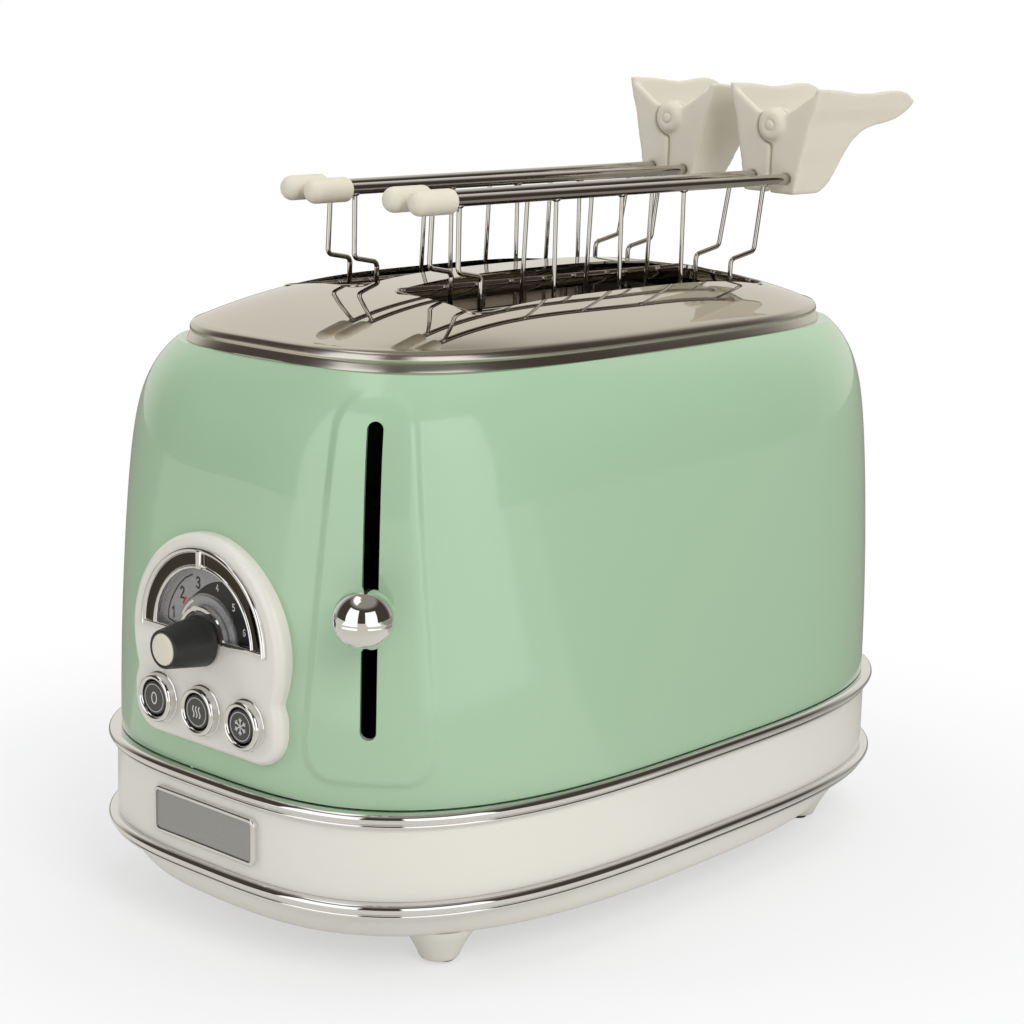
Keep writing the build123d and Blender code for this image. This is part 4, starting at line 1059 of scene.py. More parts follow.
class TOASTER_OT_control_panel(bpy.types.Operator):
    """Cream panel with its soft front edge, the half-moon recess and the button bores"""

    bl_idname = "toaster.control_panel"
    bl_label = "Control panel"

    def execute(self, context):
        edge, steps = 3.0, 14
        turns = [pi / 2 * k / steps for k in range(steps + 1)]
        sections = [(0.0, 10.4), (0.0, 7.0), (0.0, 4.0)] + [(edge * (1 - cos(a)), edge * (1 - sin(a))) for a in turns]
        rows = [[at(x, PANEL_Y + depth, z) for x, z in panel_outline(inset)] for inset, depth in sections]
        panel = skinned("cream_panel", rows, 40)
        half_moon = clock_arc((0.0, DIAL_Z), 31.1, -90, 90, 72)
        recess = plate_between("recess_cutter", half_moon, PANEL_Y - 3, PANEL_Y + 3)
        disc = front_turned("disc_cutter", ((15.0, 0.0), (15.0, 2.5)), 0, PANEL_Y + 1.0, DIAL_Z, 96)
        bores = [front_turned(f"{name}_bore", ((6.0, 0.0), (6.0, 20.0)), x, PANEL_Y - 2, BUTTON_Z)
                 for name, x in BUTTONS.items()]
        cut(panel, recess, disc, *bores, sharp=40)
        collar_profile = ((3.2, 1.0), (3.2, -0.8), (10.7, -0.8), (11.35, -0.6), (11.6, -0.1), (11.6, 1.0))
        collar = front_turned("knob_collar", collar_profile, 0, PANEL_Y, DIAL_Z, 96)
        top = [(-12, DIAL_Z), (-12, DIAL_Z + 20), (12, DIAL_Z + 20), (12, DIAL_Z)]
        cut(collar, plate_between("collar_cutter", top, PANEL_Y - 5, PANEL_Y + 5))
        panel = join("cream_panel", [panel, collar], 40)
        finish(panel, gloss_cream(), "housing", "cream_gloss", "control_bezel")
        return {"FINISHED"}


def half_turned(name, section, steps=120):
    """Upper half of a turned ring round the dial's centre; section is (radius, depth) in mm."""
    rows = []
    for k in range(steps + 1):
        a = radians(-90.0 + 180.0 * k / steps)
        rows.append([at(r * sin(a), PANEL_Y + y, FRAME_Z + r * cos(a)) for r, y in section])
    return skinned(name, rows, 32)


class TOASTER_OT_dial_frame(bpy.types.Operator):
    """Mirror-finished half-moon frame, its foot bar and the tick at the top"""

    bl_idname = "toaster.dial_frame"
    bl_label = "Dial frame"

    def execute(self, context):
        parts = [half_turned("dial_ring", FRAME_SECTION)]
        for x0, x1 in ((-30.2, -9.9), (9.9, 30.2)):
            parts.append(rounded_box("foot_bar", (x0, PANEL_Y - 1.0, 107.15), (x1, PANEL_Y + 1.2, 108.8)))
        parts.append(half_turned("knob_hood", HOOD_SECTION, 60))
        parts.append(rounded_box("top_tick", (-1.3, PANEL_Y - 2.1, 131.2), (1.3, PANEL_Y + 0.5, 137.6)))
        finish(join("mirror_dial_frame", parts, 40), frame_chrome(), "housing", "chrome", "dial_frame")
        return {"FINISHED"}


# Strokes of the dial's numbers in a box from -1 to 1, and the middles of the numbers, (x, z) in mm
DIGITS = {
    "1": (((-0.35, 0.55), (0.05, 1.0), (0.05, -1.0)),),
    "2": (((-0.5, 0.55), (-0.3, 0.9), (0.05, 1.0), (0.4, 0.85), (0.5, 0.5), (0.35, 0.1), (-0.5, -1.0), (0.55, -1.0)),),
    "3": (((-0.45, 0.75), (-0.1, 1.0), (0.3, 0.92), (0.48, 0.55), (0.3, 0.18), (-0.1, 0.08)),
          ((-0.1, 0.08), (0.35, 0.0), (0.52, -0.4), (0.35, -0.85), (-0.05, -1.0), (-0.5, -0.75))),
    "4": (((0.25, -1.0), (0.25, 1.0), (-0.55, -0.4), (0.55, -0.4)),),
    "5": (((0.45, 1.0), (-0.4, 1.0), (-0.45, 0.15), (0.1, 0.3), (0.5, -0.1), (0.48, -0.6), (0.1, -1.0), (-0.5, -0.8)),),
    "6": (((0.4, 0.8), (0.05, 1.0), (-0.35, 0.7), (-0.5, 0.0), (-0.45, -0.65), (0.0, -1.0), (0.45, -0.7),
           (0.5, -0.25), (0.1, 0.1), (-0.35, -0.05), (-0.48, -0.3)),),
}
NUMBER_PLACES = {
    "1": (-17.6, 112.9), "2": (-13.1, 120.4), "3": (-5.0, 125.1), "4": (4.6, 125.2), "5": (12.6, 120.0),
    "6": (17.8, 112.6),
}
SCALE_LINE = (
    (-16.9, 109.3), (-20.4, 110.2), (-20.2, 113.4), (-19.0, 116.5), (-17.2, 119.6), (-14.6, 122.9), (-11.6, 125.5),
    (-7.9, 127.4),
)


def ribbon(line, width):
    """Loops of a stroke of even width along a line: one with round ends, or two for a closed line."""
    line = [np.array(p, float) for p in line]
    closed = np.hypot(*(line[0] - line[-1])) < 1e-6
    if closed:
        line = line[:-1]
    count = len(line)
    left, right = [], []
    for k, spot in enumerate(line):
        ways = []
        if k or closed:
            ways.append(spot - line[k - 1])
        if k < count - 1 or closed:
            ways.append(line[(k + 1) % count] - spot)
        ways = [way / np.hypot(*way) for way in ways]
        mean = sum(ways)
        mean = mean / max(np.hypot(*mean), 1e-6)
        aside = np.array((-mean[1], mean[0])) * width / 2 / max(0.6, abs(mean @ ways[0]))
        left.append(spot + aside)
        right.append(spot - aside)
    if closed:
        return [left, right]
    ends = []
    for spot, way in ((line[-1], line[-1] - line[-2]), (line[0], line[0] - line[1])):
        turn = atan2(way[1], way[0])
        ends.append(turn_points(spot, width / 2, turn + radians(60), turn - radians(60), 5))
    return [left + ends[0] + right[::-1] + ends[1]]


def strokes(name, lines, width, depth, rise=0.03):
    """Flat strokes in the front plane: lines of (x, z) in mm with a width, at a depth; none shares a plane."""
    points, faces = [], []
    for number, line in enumerate(lines):
        loops = ribbon(line, width)
        start, count = len(points), len(loops[0])
        for loop in loops:
            points += [at(x, y, z) for y in (depth - rise - 0.004 * (number % 6), depth + rise) for x, z in loop]
        back, other = start + count, start + 2 * count
        if len(loops) == 1:
            faces += [tuple(range(start, back)), tuple(range(other - 1, back - 1, -1))]
            pairs = ((start, back),)
        else:
            pairs = ((start, other), (back, other + count), (start, back), (other, other + count))
        for a, b in pairs:
            faces += quads(a, b, count)
    return add_piece(name, points, faces, None, merge=False)


def number_strokes(digits, size, width, depth):
    """Strokes of some of the dial's numbers, one piece for each."""
    pieces = []
    for digit in digits:
        x, z = NUMBER_PLACES[digit]
        lines = [[(x + 1.6 * size * a, z + 1.85 * size * b) for a, b in line] for line in DIGITS[digit]]
        pieces.append(strokes(f"number_{digit}", lines, width, depth))
    return pieces


class TOASTER_OT_dial_print(bpy.types.Operator):
    """Numbers and scale printed on the dial's face"""

    bl_idname = "toaster.dial_print"
    bl_label = "Dial print"

    def execute(self, context):
        dark = number_strokes("123", 1.0, 0.7, FACE_Y) + [strokes("scale_line", [SCALE_LINE], 0.5, FACE_Y)]
        finish(join("dark_dial_print", dark), print_black(), "housing", "dial_print")
        outer = []
        for k in range(61):
            a = radians(-30 + 116 * k / 60)
            share = min(1.0, k / 36)
            radius = 15.4 + 7.9 * share * share * (3 - 2 * share)
            outer.append((radius * sin(a), DIAL_Z + radius * cos(a)))
        inner = clock_arc((0.0, DIAL_Z), 15.2, 86, -30, 60)
        crescent = plate_between("dark_crescent", outer + inner, FACE_Y - 0.02, FACE_Y + 0.1)
        finish(crescent, print_black(), "housing", "dial_print")
        light = number_strokes("456", 0.62, 0.36, FACE_Y - 0.03)
        finish(join("light_dial_print", light), print_light(), "housing", "dial_print")
        red = strokes("red_dial_mark", [[(-12.6, 116.9), (-11.4, 118.7)]], 0.9, FACE_Y)
        finish(red, print_red(), "housing", "dial_print")
        return {"FINISHED"}


class TOASTER_OT_knob(bpy.types.Operator):
    """Black browning knob with its cream cap and the pointer on its disc"""

    bl_idname = "toaster.knob"
    bl_label = "Browning knob"

    def execute(self, context):
        base = -151.9
        profile = [(3.0, -12.0), (3.0, 0.0), (8.45, 0.0), (8.6, -0.15), (8.6, -0.5), (8.5, -0.7), (8.46, -2.0)]
        profile += [(8.46 - 1.9 * k / 10, -2.0 - 13.4 * k / 10) for k in range(1, 11)]
        profile += [(6.5, -15.65), (6.38, -15.95), (6.15, -16.1), (5.75, -16.1), (5.5, -15.95), (5.42, -15.6),
                    (5.42, -15.3), (3.0, -15.3), (3.0, -12.0)]
        knob = front_ring("black_knob", profile, 0, base, DIAL_Z, 35)
        finish(knob, satin_black(), "browning_dial", "black_satin", "browning_knob")
        cap_profile = ((5.3, -15.3), (5.35, -15.7), (5.3, -15.95), (5.1, -16.12), (4.7, -16.24), (3.0, -16.31),
                       (1.2, -16.34))
        cap = front_turned("cream_knob_cap", cap_profile, 0, base, DIAL_Z, 64, 40)
        finish(cap, matte_cream(), "browning_dial", "cream_matte", "knob_cap")
        pointer = strokes("pointer_arc", [clock_arc((0.0, DIAL_Z), 13.6, -62, -30, 20)], 0.8, PANEL_Y + 1.58)
        finish(pointer, chrome(), "browning_dial", "chrome")
        return {"FINISHED"}


class TOASTER_OT_button_rings(bpy.types.Operator):
    """Polished rings round the three buttons"""

    bl_idname = "toaster.button_rings"
    bl_label = "Button rings"

    def execute(self, context):
        profile = [(6.05, 0.2), (8.75, 0.2), (8.75, -0.35), (8.6, -0.5), (8.35, -0.55), (8.3, -0.9)]
        profile += [(7.25 + 1.05 * cos(pi * k / 16), -2.25 - 1.35 * sin(pi * k / 16)) for k in range(17)]
        profile += [(6.15, -1.9), (6.05, -1.6)]
        rings = [front_ring(f"{name}_ring", profile, x, PANEL_Y, BUTTON_Z, 40) for name, x in BUTTONS.items()]
        finish(join("polished_button_rings", rings, 40), chrome(), "housing", "chrome", "button_rings")
        return {"FINISHED"}


def zero_sign(x, z):
    return [[(x + 1.25 * a, z + 1.95 * b) for a, b in clock_arc((0, 0), 1.0, 0, 360, 24)]]


def heat_sign(x, z, size=2.4):
    turns = [(sin(k / 12 * 2 * pi), k / 12) for k in range(13)]
    return [[(x + size * (shift + 0.16 * wave), z + size * (1.5 * share - 0.75)) for wave, share in turns]
            for shift in (-0.62, 0.0, 0.62)]


def snow_sign(x, z, size=2.8):
    lines = []
    for k in range(6):
        a = radians(60 * k + 30)
        lines.append([(x, z), (x + size * cos(a), z + size * sin(a))])
        foot = (x + size * 0.58 * cos(a), z + size * 0.58 * sin(a))
        for b in (a - radians(40), a + radians(40)):
            lines.append([foot, (foot[0] + size * 0.34 * cos(b), foot[1] + size * 0.34 * sin(b))])
    return lines


class TOASTER_OT_button_marks(bpy.types.Operator):
    """Light symbols on the three buttons"""

    bl_idname = "toaster.button_marks"
    bl_label = "Button marks"

    def execute(self, context):
        face_y = PANEL_Y - 3.0
        signs = {"cancel": (zero_sign, 0.5), "reheat": (heat_sign, 0.5), "defrost": (snow_sign, 0.38)}
        for name, x in BUTTONS.items():
            sign, width = signs[name]
            ring = strokes("ring", [clock_arc((x, BUTTON_Z), 4.75, 0, 360, 48)], 0.22, face_y, 0.02)
            marks = join(f"{name}_mark", [ring, strokes("sign", sign(x, BUTTON_Z), width, face_y, 0.02)])
            finish(marks, print_light(), f"{name}_key", "dial_print")
        return {"FINISHED"}


# Tongs

TONGS = {"right": (28.0, 0.0), "left": (-25.5, 3.5)}  # middle of a tong across X and its shift along Y
JAWS = {"outer": 1.0, "inner": -1.0}
HEEL_Y = 112.0
BARS = (-20.0, 15.0, 50.0)
CAGE_FLOOR = 107.65
BEND_Z = 205.0
ROD_ENDS = (-87.0, 114.5)
WELD_DROP = 1.5
BAR_RADIUS = 0.0008
CAP_Y = -90.0
EACH_JAW = [(side, jaw) for side in TONGS for jaw in JAWS]


def tong_point(x, y, z, side, jaw):
    """Point of the jaw drawn at +X, turned in at its toe and placed on its tong; mm in, metres out."""
    size = tong_sizes()
    lean, toe_in = size.lean, size.toe_in
    pin = size.pin_z / MM
    heel = size.rod_offset / MM
    back = y - HEEL_Y
    turned_x = heel + (x - heel) * cos(toe_in) + back * sin(toe_in)
    turned_y = HEEL_Y + back * cos(toe_in) - (x - heel) * sin(toe_in)
    across = turned_x * JAWS[jaw]
    up = z - pin
    spot_x, spot_y = TONGS[side]
    return Vector(at(spot_x + across * cos(lean) + up * sin(lean), turned_y + spot_y,
                     pin - across * sin(lean) + up * cos(lean)))


def rod_point(y, side, jaw, drop=0.0):
    """Point on the rod's middle line, or a drop in mm under it."""
    size = tong_sizes()
    return tong_point(size.rod_offset / MM, y, size.rod_z / MM - drop, side, jaw)


def jaw_chain(spots, side, jaw):
    """Wire through (y, z) in mm, on the jaw's slope above the bend and upright below it."""
    size = tong_sizes()
    rod = size.rod_z / MM
    chain = []
    for y, z in spots:
        x = size.rod_offset / MM + min(rod - z, rod - BEND_Z) * tan(size.splay)
        chain.append(tong_point(x, y, z, side, jaw))
    return chain


def weld_bead():
    shape = bmesh.new()
    bmesh.ops.create_icosphere(shape, subdivisions=3, radius=0.0016)
    for vertex in shape.verts:
        vertex.co.z *= 0.75
        vertex.co.y *= 1.15
    return new_object("bead", mesh_from("bead", shape))


class TOASTER_OT_cages(bpy.types.Operator):
    """Wire jaws: bent outer wire, three straight wires and the rod with its weld beads"""

    bl_idname = "toaster.cages"
    bl_label = "Wire jaws"

    def execute(self, context):
        size = tong_sizes()
        rod = size.rod_z / MM
        outline = ((-68, rod), (-68, 225.0), (-57, 223), (-57, CAGE_FLOOR), (80, CAGE_FLOOR), (80, 220),
                   (94, 222.5), (98.5, rod))
        for side, jaw in EACH_JAW:
            bent = wires("bent", [jaw_chain(outline, side, jaw)], size.wire_radius, wire_steel())
            bars = [jaw_chain(((y, rod), (y, BEND_Z), (y, CAGE_FLOOR)), side, jaw) for y in BARS]
            straight = wires("straight", bars, BAR_RADIUS, wire_steel())
            ends = [rod_point(y, side, jaw) for y in ROD_ENDS]
            rod_piece = wires("rod", [ends], size.rod_radius, wire_steel(), sides=24)
            spots = [rod_point(y, side, jaw, WELD_DROP) for y in (-68, *BARS, 99)]
            welds = stamped("welds", weld_bead(), spots, wire_steel())
            cage = join(f"{side}_{jaw}_wire_jaw", [bent, straight, rod_piece, welds], 45)
            finish(cage, wire_steel(), f"{side}_tong_{jaw}", "wire_steel", f"{side}_tong_{jaw}_cage")
        return {"FINISHED"}


class TOASTER_OT_caps(bpy.types.Operator):
    """Soft rounded caps on the rods' free ends"""

    bl_idname = "toaster.caps"
    bl_label = "Rod caps"

    def execute(self, context):
        radius, long, nose, tail = 4.3, 18.6, 3.6, 1.8
        profile = []
        for k in range(13):
            a = pi / 2 * k / 12
            profile.append((radius - nose + nose * sin(a), nose * (1 - cos(a))))
        for k in range(9):
            a = pi / 2 * k / 8
            profile.append((radius - tail + tail * cos(a), long - tail + tail * sin(a)))
        profile.append((2.1, long))
        for side, jaw in EACH_JAW:
            tip = rod_point(CAP_Y, side, jaw)
            cap = turned(f"{side}_{jaw}_rod_cap", profile, tip, rod_point(0.0, side, jaw) - tip, 48, 50)
            finish(cap, matte_cream(), f"{side}_tong_{jaw}", "cream_matte", f"{side}_tong_{jaw}_cap")
        return {"FINISHED"}


class TOASTER_OT_grips(bpy.types.Operator):
    """Moulded grips: the solids' shapes with softened edges"""

    bl_idname = "toaster.grips"
    bl_label = "Tong grips"

    def execute(self, context):
        for side, jaw in EACH_JAW:
            node = f"{side}_tong_{jaw}_handle"
            shape = bmesh.new()
            shape.from_mesh(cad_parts[node].data)
            bmesh.ops.remove_doubles(shape, verts=shape.verts, dist=2e-6)
            grip = new_object(f"{side}_{jaw}_grip", mesh_from(f"{side}_{jaw}_grip", shape))
            remesh = grip.modifiers.new("even", "REMESH")
            remesh.mode = "VOXEL"
            remesh.voxel_size = 0.0006
            soften = grip.modifiers.new("soften", "SMOOTH")
            soften.factor = 0.5
            soften.iterations = 20
            settle(grip)
            smooth(grip.data, 180)
            finish(grip, matte_cream(), f"{side}_tong_{jaw}", "cream_matte", node)
        return {"FINISHED"}


def helix(centre, radius, turns, rise, steps, across, up, axis):
    """Points of a coil round an axis, in metres."""
    points = []
    for k in range(steps + 1):
        a = 2 * pi * turns * k / steps
        points.append(centre + across * (radius * cos(a)) + up * (radius * sin(a)) + axis * (rise * k / steps))
    return points


class TOASTER_OT_tong_pins(bpy.types.Operator):
    """Hinge pins of the tongs with the coils of their springs"""

    bl_idname = "toaster.tong_pins"
    bl_label = "Tong pins"

    def execute(self, context):
        profile = ((0.5, -2.2), (1.5, -2.15), (1.95, -1.8), (2.0, -1.4), (2.0, 12.9), (3.3, 12.9), (3.7, 13.1),
                   (3.8, 13.5), (3.55, 13.85), (2.0, 14.1), (0.5, 14.2))
        across, back, up = (Vector(axis) for axis in ((1, 0, 0), (0, 1, 0), (0, 0, 1)))
        for side, (x, shift) in TONGS.items():
            centre = Vector(at(x, HEEL_Y + shift, tong_sizes().pin_z / MM))
            pin = turned(f"{side}_hinge_pin", profile, centre, back, 48, 40)
            chain = helix(centre + back * 0.0067, 0.0026, 5, 0.00575, 120, up, across, back)
            coil = wires(f"{side}_hinge_coil", [chain], 0.0005, spring_steel(), bend=0.0)
            finish(pin, matte_cream(), f"{side}_tong", "cream_matte", f"{side}_tong_pin")
            finish(coil, spring_steel(), f"{side}_tong", "spring_steel")
        return {"FINISHED"}


# Inside


class TOASTER_OT_bread_guides(bpy.types.Operator):
    """Wire guides on both sides of each slot"""

    bl_idname = "toaster.bread_guides"
    bl_label = "Bread guides"

    def execute(self, context):
        low, high = 108.0, 203.0
        chains = []
        for x in (-49.0, -7.0, 7.0, 49.0):
            chains += [[at(x, -90.8, z), at(x, 96.0, z)] for z in (low, high)]
            chains += [[at(x, -66.0 + k * 24.6, low), at(x, -66.0 + k * 24.6, high)] for k in range(7)]
        guides = wires("wire_guides", chains, 0.0009, wire_steel(), sides=12)
        finish(guides, wire_steel(), "housing", "wire_steel", "bread_guides")
        return {"FINISHED"}


class TOASTER_OT_heater_windings(bpy.types.Operator):
    """Flat heating ribbon wound on the mica boards"""

    bl_idname = "toaster.heater_windings"
    bl_label = "Heater windings"

    def execute(self, context):
        pieces = []
        for x, side in ((-52.8, 1), (-4.8, -1), (4.8, 1), (52.8, -1)):
            near, far = sorted((x + side * 0.42, x + side * 0.72))
            for k in range(7):
                z = 115.0 + k * 80.0 / 6
                pieces.append(rounded_box("ribbon", (near, -68.0, z - 0.8), (far, 84.0, z + 0.8), 0.0001, 1))
        finish(join("heating_ribbon", pieces), heater_metal(), "housing", "heater_wire", "heater_wires")
        return {"FINISHED"}


class TOASTER_OT_lift_spring(bpy.types.Operator):
    """Coil that lifts the carriage"""

    bl_idname = "toaster.lift_spring"
    bl_label = "Lift spring"

    def execute(self, context):
        across, back, up = (Vector(axis) for axis in ((1, 0, 0), (0, 1, 0), (0, 0, 1)))
        turns = 16
        chain = helix(Vector((-0.014, -0.104, 0.1184)), 0.0029, turns, 0.0862, turns * 24, across, back, up)
        coil = wires("lift_coil", [chain], 0.00045, spring_steel(), bend=0.0, sides=10)
        coil.data.materials.clear()
        coil.data.materials.append(spring_steel())
        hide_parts("lift_spring")
        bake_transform(coil)
        return {"FINISHED"}


# Stage

WHITE = (1.0, 1.0, 1.0, 1.0)
TARGET = Vector((-0.00284, -0.00082, 0.12386))
LENS_SHIFT = (0.00462, 0.0092)
FLOOR_REACH = 6.0
FLOOR_SHADE = (0.82, 0.82, 0.82)
FLOOR_SHEEN = (0.66, 0.63, 0.56, 1.0)
# Patches of the mirrored floor: azimuth from left to right in degrees, inner radius in metres and shade
FLOOR_PATCHES = (
    (-26, 25, 0.46, (1.3, 1.3, 1.3)), (50, 98, 0.46, (1.3, 1.3, 1.3)), (106, 200, 0.1, (0.30, 0.285, 0.25)),
    (-200, -60, 0.1, (0.30, 0.285, 0.25)),
)
PATCH_REACH, PATCH_EDGE = 9.0, 0.06
SHADOW_FADE = (0.12, 0.36, 0.55, 1.0)  # from and to in metres, and the share of white there
# What polished metal mirrors: soft windows of the dim studio, in degrees of azimuth from -Y towards +X and of
# elevation (left, right, low, high, softness) with their brightness
STUDIO_WINDOWS = (
    ((-26, 25, -14, 46, 3), 1.25), ((50, 98, -14, 40, 3), 1.35), ((-100, 0, 58, 82, 5), 1.2),
)
DIM_SHADE = (0.060, 0.049, 0.040, 1.0)
BACK_SHADE = (0.80, 0.78, 0.72, 1.0)
HIGH_SHADE = (0.30, 0.28, 0.245, 1.0)
FILL_SHADE = (0.97, 0.98, 1.0, 1.0)
FILL_STRENGTH = 0.55
BEHIND = (-0.673, 0.740)  # level direction from the camera past the toaster
BEHIND_FADE = (0.25, 0.75)
HIGH_FADE = (radians(46), radians(60))
# Lamps: place and aim in metres, size and power in watts
LAMPS = {
    "key": ((1.6, -0.6, 1.4), (0.0, 0.0, 0.1), (0.9, 1.2), 19.0),
    "side": ((-1.2, -1.5, 0.9), (0.0, -0.1, 0.12), (0.7, 1.1), 6.3),
    "top": ((0.1, 0.5, 1.9), (0.0, 0.0, 0.1), (1.4, 1.4), 9.5),
}


@kept("soft_window")
def window_group(name):
    """Mask that is 1 inside a window of azimuth and elevation and fades out over its soft edge."""
    values = {"Azimuth": 0.0, "Elevation": 0.0, "Left": -0.5, "Right": 0.5, "Low": -0.3, "High": 0.6, "Softness": 0.06}
    inputs = [(label, "Float", value) for label, value in values.items()]
    tree, entry, out = start_shading(name, inputs, (("Mask", "Float"),))
    source = entry.outputs
    mask = None
    for larger, smaller in (("Azimuth", "Left"), ("Right", "Azimuth"), ("Elevation", "Low"), ("High", "Elevation")):
        gap = calculate(tree, "SUBTRACT", source[larger], source[smaller])
        edge = ranged(tree, gap, 0.0, source["Softness"])
        mask = edge if mask is None else calculate(tree, "MULTIPLY", mask, edge)
    feed(tree, out, {"Mask": mask})
    return tree


def window_mask(tree, azimuth, elevation, left, right, low, high, soft):
    inputs = {"Azimuth": azimuth, "Elevation": elevation, "Left": left, "Right": right, "Low": low, "High": high,
              "Softness": soft}
    return add_node(tree, "ShaderNodeGroup", inputs, node_tree=window_group()).outputs["Mask"]


def azimuth_of(tree, x, y):
    """Angle of a direction from -Y towards +X."""
    return calculate(tree, "ARCTAN2", x, calculate(tree, "MULTIPLY", y, -1.0))


def floor_material():
    """Pale ground that keeps the shadow; what the camera and mirrors see fades to white further out."""
    material = bpy.data.materials.new("pale_floor")
    material.use_nodes = True
    tree = material.node_tree
    shader = tree.nodes["Principled BSDF"]
    shade = drifting(tree, FLOOR_SHADE, 0.015, 3.0)
    feed(tree, shader, {"Roughness": 0.9, "Specular IOR Level": 0.1, "Base Color": shade})
    place = add_node(tree, "ShaderNodeTexCoord").outputs["Object"]
    reach = add_node(tree, "ShaderNodeVectorMath", {0: place}, operation="LENGTH").outputs["Value"]
    apart = add_node(tree, "ShaderNodeSeparateXYZ", {"Vector": place}).outputs
    azimuth = azimuth_of(tree, apart["X"], apart["Y"])
    mirrored = FLOOR_SHEEN
    for left, right, near, patch in FLOOR_PATCHES:
        mask = window_mask(tree, azimuth, reach, radians(left), radians(right), near, PATCH_REACH, PATCH_EDGE)
        mirrored = mixed(tree, mask, mirrored, (*patch, 1.0))
    path = add_node(tree, "ShaderNodeLightPath").outputs
    seen = mixed(tree, path["Is Glossy Ray"], WHITE, mirrored)
    glow = add_node(tree, "ShaderNodeEmission", {"Strength": 1.0, "Color": seen}).outputs["Emission"]
    direct = calculate(tree, "MAXIMUM", path["Is Camera Ray"], path["Is Glossy Ray"])
    direct = calculate(tree, "MAXIMUM", direct, path["Is Transmission Ray"])
    share = calculate(tree, "MULTIPLY", direct, ranged(tree, reach, *SHADOW_FADE))
    mix = add_node(tree, "ShaderNodeMixShader", {"Fac": share, 1: shader.outputs["BSDF"], 2: glow})
    feed(tree, tree.nodes["Material Output"], {"Surface": mix.outputs["Shader"]})
    return material


def white_room():
    """World: white to the camera, soft fill on the object, and a dim studio with soft windows in its mirrors."""
    world = bpy.data.worlds.new("white_room")
    world.use_nodes = True
    tree = world.node_tree
    tree.nodes.clear()

    def background(shade, strength=1.0):
        inputs = {"Color": shade, "Strength": strength}
        return add_node(tree, "ShaderNodeBackground", inputs).outputs["Background"]

    def shader_mix(factor, first, second):
        return add_node(tree, "ShaderNodeMixShader", {"Fac": factor, 1: first, 2: second}).outputs["Shader"]

    place = add_node(tree, "ShaderNodeTexCoord").outputs["Generated"]
    split = add_node(tree, "ShaderNodeSeparateXYZ", {"Vector": place}).outputs
    x, y, z = split["X"], split["Y"], split["Z"]
    azimuth = azimuth_of(tree, x, y)
    elevation = calculate(tree, "ARCSINE", z)
    behind = [calculate(tree, "MULTIPLY", part, share) for part, share in zip((x, y), BEHIND)]
    behind = calculate(tree, "ADD", *behind)
    shade = mixed(tree, ranged(tree, behind, *BEHIND_FADE), DIM_SHADE, BACK_SHADE)
    shade = mixed(tree, ranged(tree, elevation, *HIGH_FADE), shade, HIGH_SHADE)
    for window, brightness in STUDIO_WINDOWS:
        mask = window_mask(tree, azimuth, elevation, *(radians(value) for value in window))
        shade = mixed(tree, mask, shade, (brightness, brightness, brightness, 1.0))
    path = add_node(tree, "ShaderNodeLightPath").outputs
    room = shader_mix(path["Is Glossy Ray"], background(FILL_SHADE, FILL_STRENGTH), background(shade))
    direct = calculate(tree, "MAXIMUM", path["Is Camera Ray"], path["Is Transmission Ray"])
    add_node(tree, "ShaderNodeOutputWorld", {"Surface": shader_mix(direct, room, background(WHITE))})
    return world


def add_lamp(name, place, aim, size, power):
    lamp = bpy.data.lights.new(name, "AREA")
    lamp.shape = "RECTANGLE"
    lamp.size, lamp.size_y = size
    lamp.energy = power
    holder = new_object(name, lamp)
    holder.location = place
    holder.rotation_euler = (Vector(aim) - Vector(place)).to_track_quat("-Z", "Y").to_euler()
    holder.visible_glossy = False


def add_camera(settings):
    """Camera at the photo's angle, turned a little about its view."""
    turn, lift, roll = settings.azimuth, settings.elevation, settings.roll
    back = Vector((sin(turn) * cos(lift), -cos(turn) * cos(lift), sin(lift)))
    right = Vector((cos(turn), sin(turn), 0.0))
    up = Vector((-sin(lift) * sin(turn), sin(lift) * cos(turn), cos(lift)))
    axes = Matrix((right * cos(roll) + up * sin(roll), up * cos(roll) - right * sin(roll), back)).transposed()
    lens = bpy.data.cameras.new("camera")
    lens.sensor_width = 36.0
    lens.lens = settings.focal_pixels * lens.sensor_width / PICTURE
    lens.shift_x, lens.shift_y = LENS_SHIFT
    lens.clip_start = 0.01
    lens.clip_end = 50.0
    camera = new_object("camera", lens)
    camera.matrix_world = Matrix.Translation(TARGET + back * settings.distance) @ axes.to_4x4()
    bpy.context.scene.camera = camera


class TOASTER_OT_stage(bpy.types.Operator):
    """Pale floor, white surroundings, soft lamps and the camera"""

    bl_idname = "toaster.stage"
    bl_label = "Stage"

    def execute(self, context):
        mesh = bpy.data.meshes.new("floor")
        corners = [(x * FLOOR_REACH, y * FLOOR_REACH, 0) for x, y in ((-1, -1), (1, -1), (1, 1), (-1, 1))]
        mesh.from_pydata(corners, [], [(0, 1, 2, 3)])
        mesh.materials.append(floor_material())
        ground = new_object("floor", mesh)
        context.scene.world = white_room()
        for name, lamp in LAMPS.items():
            add_lamp(name, *lamp)
        add_camera(context.scene.toaster_stage)
        context.scene.view_settings.view_transform = "Standard"
        return {"FINISHED"}


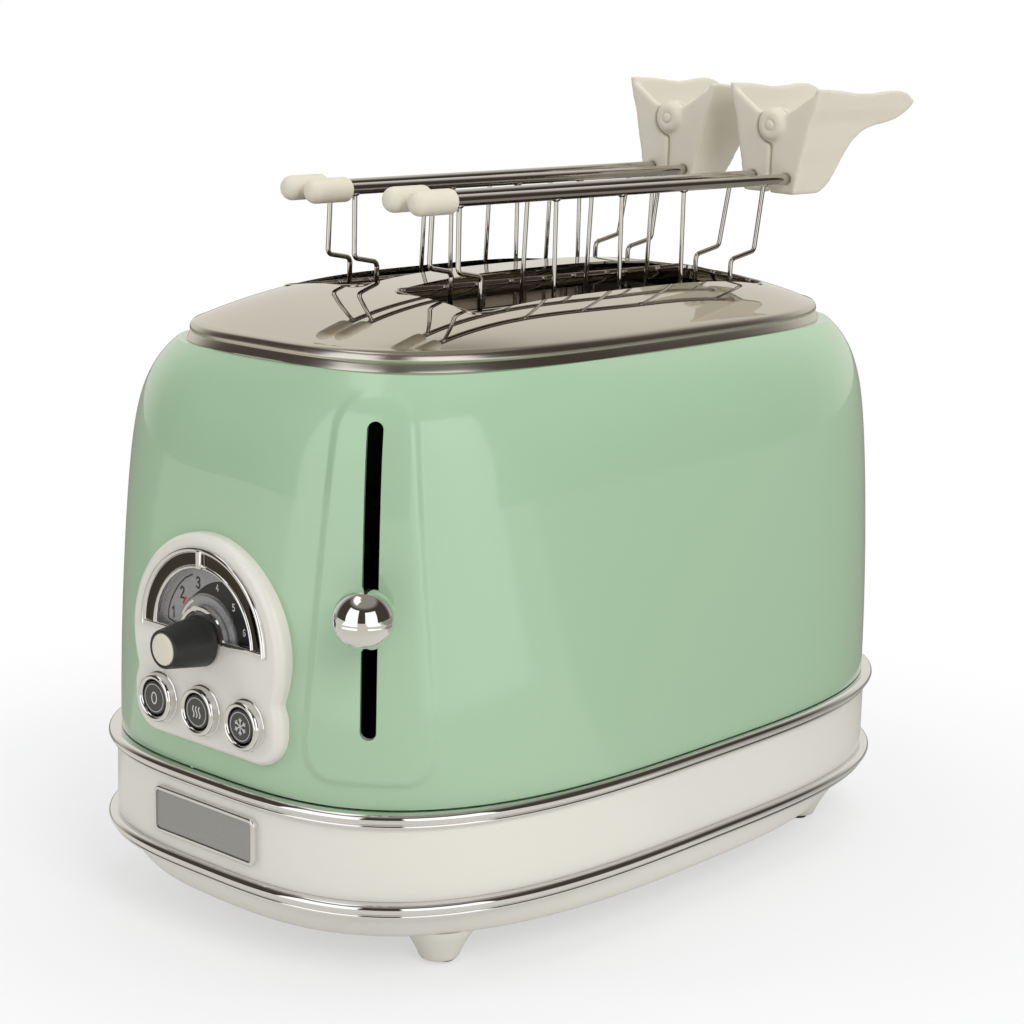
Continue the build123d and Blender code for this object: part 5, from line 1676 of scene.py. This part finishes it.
# Panel and registration


PIECES = (
    TOASTER_OT_paint_nodes,
    TOASTER_OT_shell,
    TOASTER_OT_steel_top,
    TOASTER_OT_slot_collars,
    TOASTER_OT_chrome_rings,
    TOASTER_OT_base_band,
    TOASTER_OT_cream_feet,
    TOASTER_OT_lever_ball,
    TOASTER_OT_control_panel,
    TOASTER_OT_dial_frame,
    TOASTER_OT_dial_print,
    TOASTER_OT_knob,
    TOASTER_OT_button_rings,
    TOASTER_OT_button_marks,
    TOASTER_OT_cages,
    TOASTER_OT_caps,
    TOASTER_OT_grips,
    TOASTER_OT_tong_pins,
    TOASTER_OT_bread_guides,
    TOASTER_OT_heater_windings,
    TOASTER_OT_lift_spring,
    TOASTER_OT_stage,
)
SETTINGS = {
    "toaster_body": ToasterBodySizes,
    "toaster_tongs": ToasterTongSizes,
    "toaster_colours": ToasterColours,
    "toaster_stage": ToasterStageSettings,
}


class TOASTER_PT_sidebar(bpy.types.Panel):
    """Buttons for the pieces and fields for their sizes and colours"""

    bl_label = "Toaster"
    bl_idname = "TOASTER_PT_sidebar"
    bl_space_type = "VIEW_3D"
    bl_region_type = "UI"
    bl_category = "Toaster"

    def draw(self, context):
        for name, group in SETTINGS.items():
            box = self.layout.box()
            for field in group.__annotations__:
                box.prop(getattr(context.scene, name), field)
        for piece in PIECES:
            self.layout.operator(piece.bl_idname)


def register():
    for name, group in SETTINGS.items():
        bpy.utils.register_class(group)
        setattr(bpy.types.Scene, name, bpy.props.PointerProperty(type=group))
    for piece in PIECES:
        bpy.utils.register_class(piece)
    bpy.utils.register_class(TOASTER_PT_sidebar)


def unregister():
    bpy.utils.unregister_class(TOASTER_PT_sidebar)
    for piece in reversed(PIECES):
        bpy.utils.unregister_class(piece)
    for name, group in SETTINGS.items():
        delattr(bpy.types.Scene, name)
        bpy.utils.unregister_class(group)


def main():
    register()
    for piece in PIECES:
        group, action = piece.bl_idname.split(".")
        getattr(getattr(bpy.ops, group), action)()


if __name__ == "__main__":
    main()
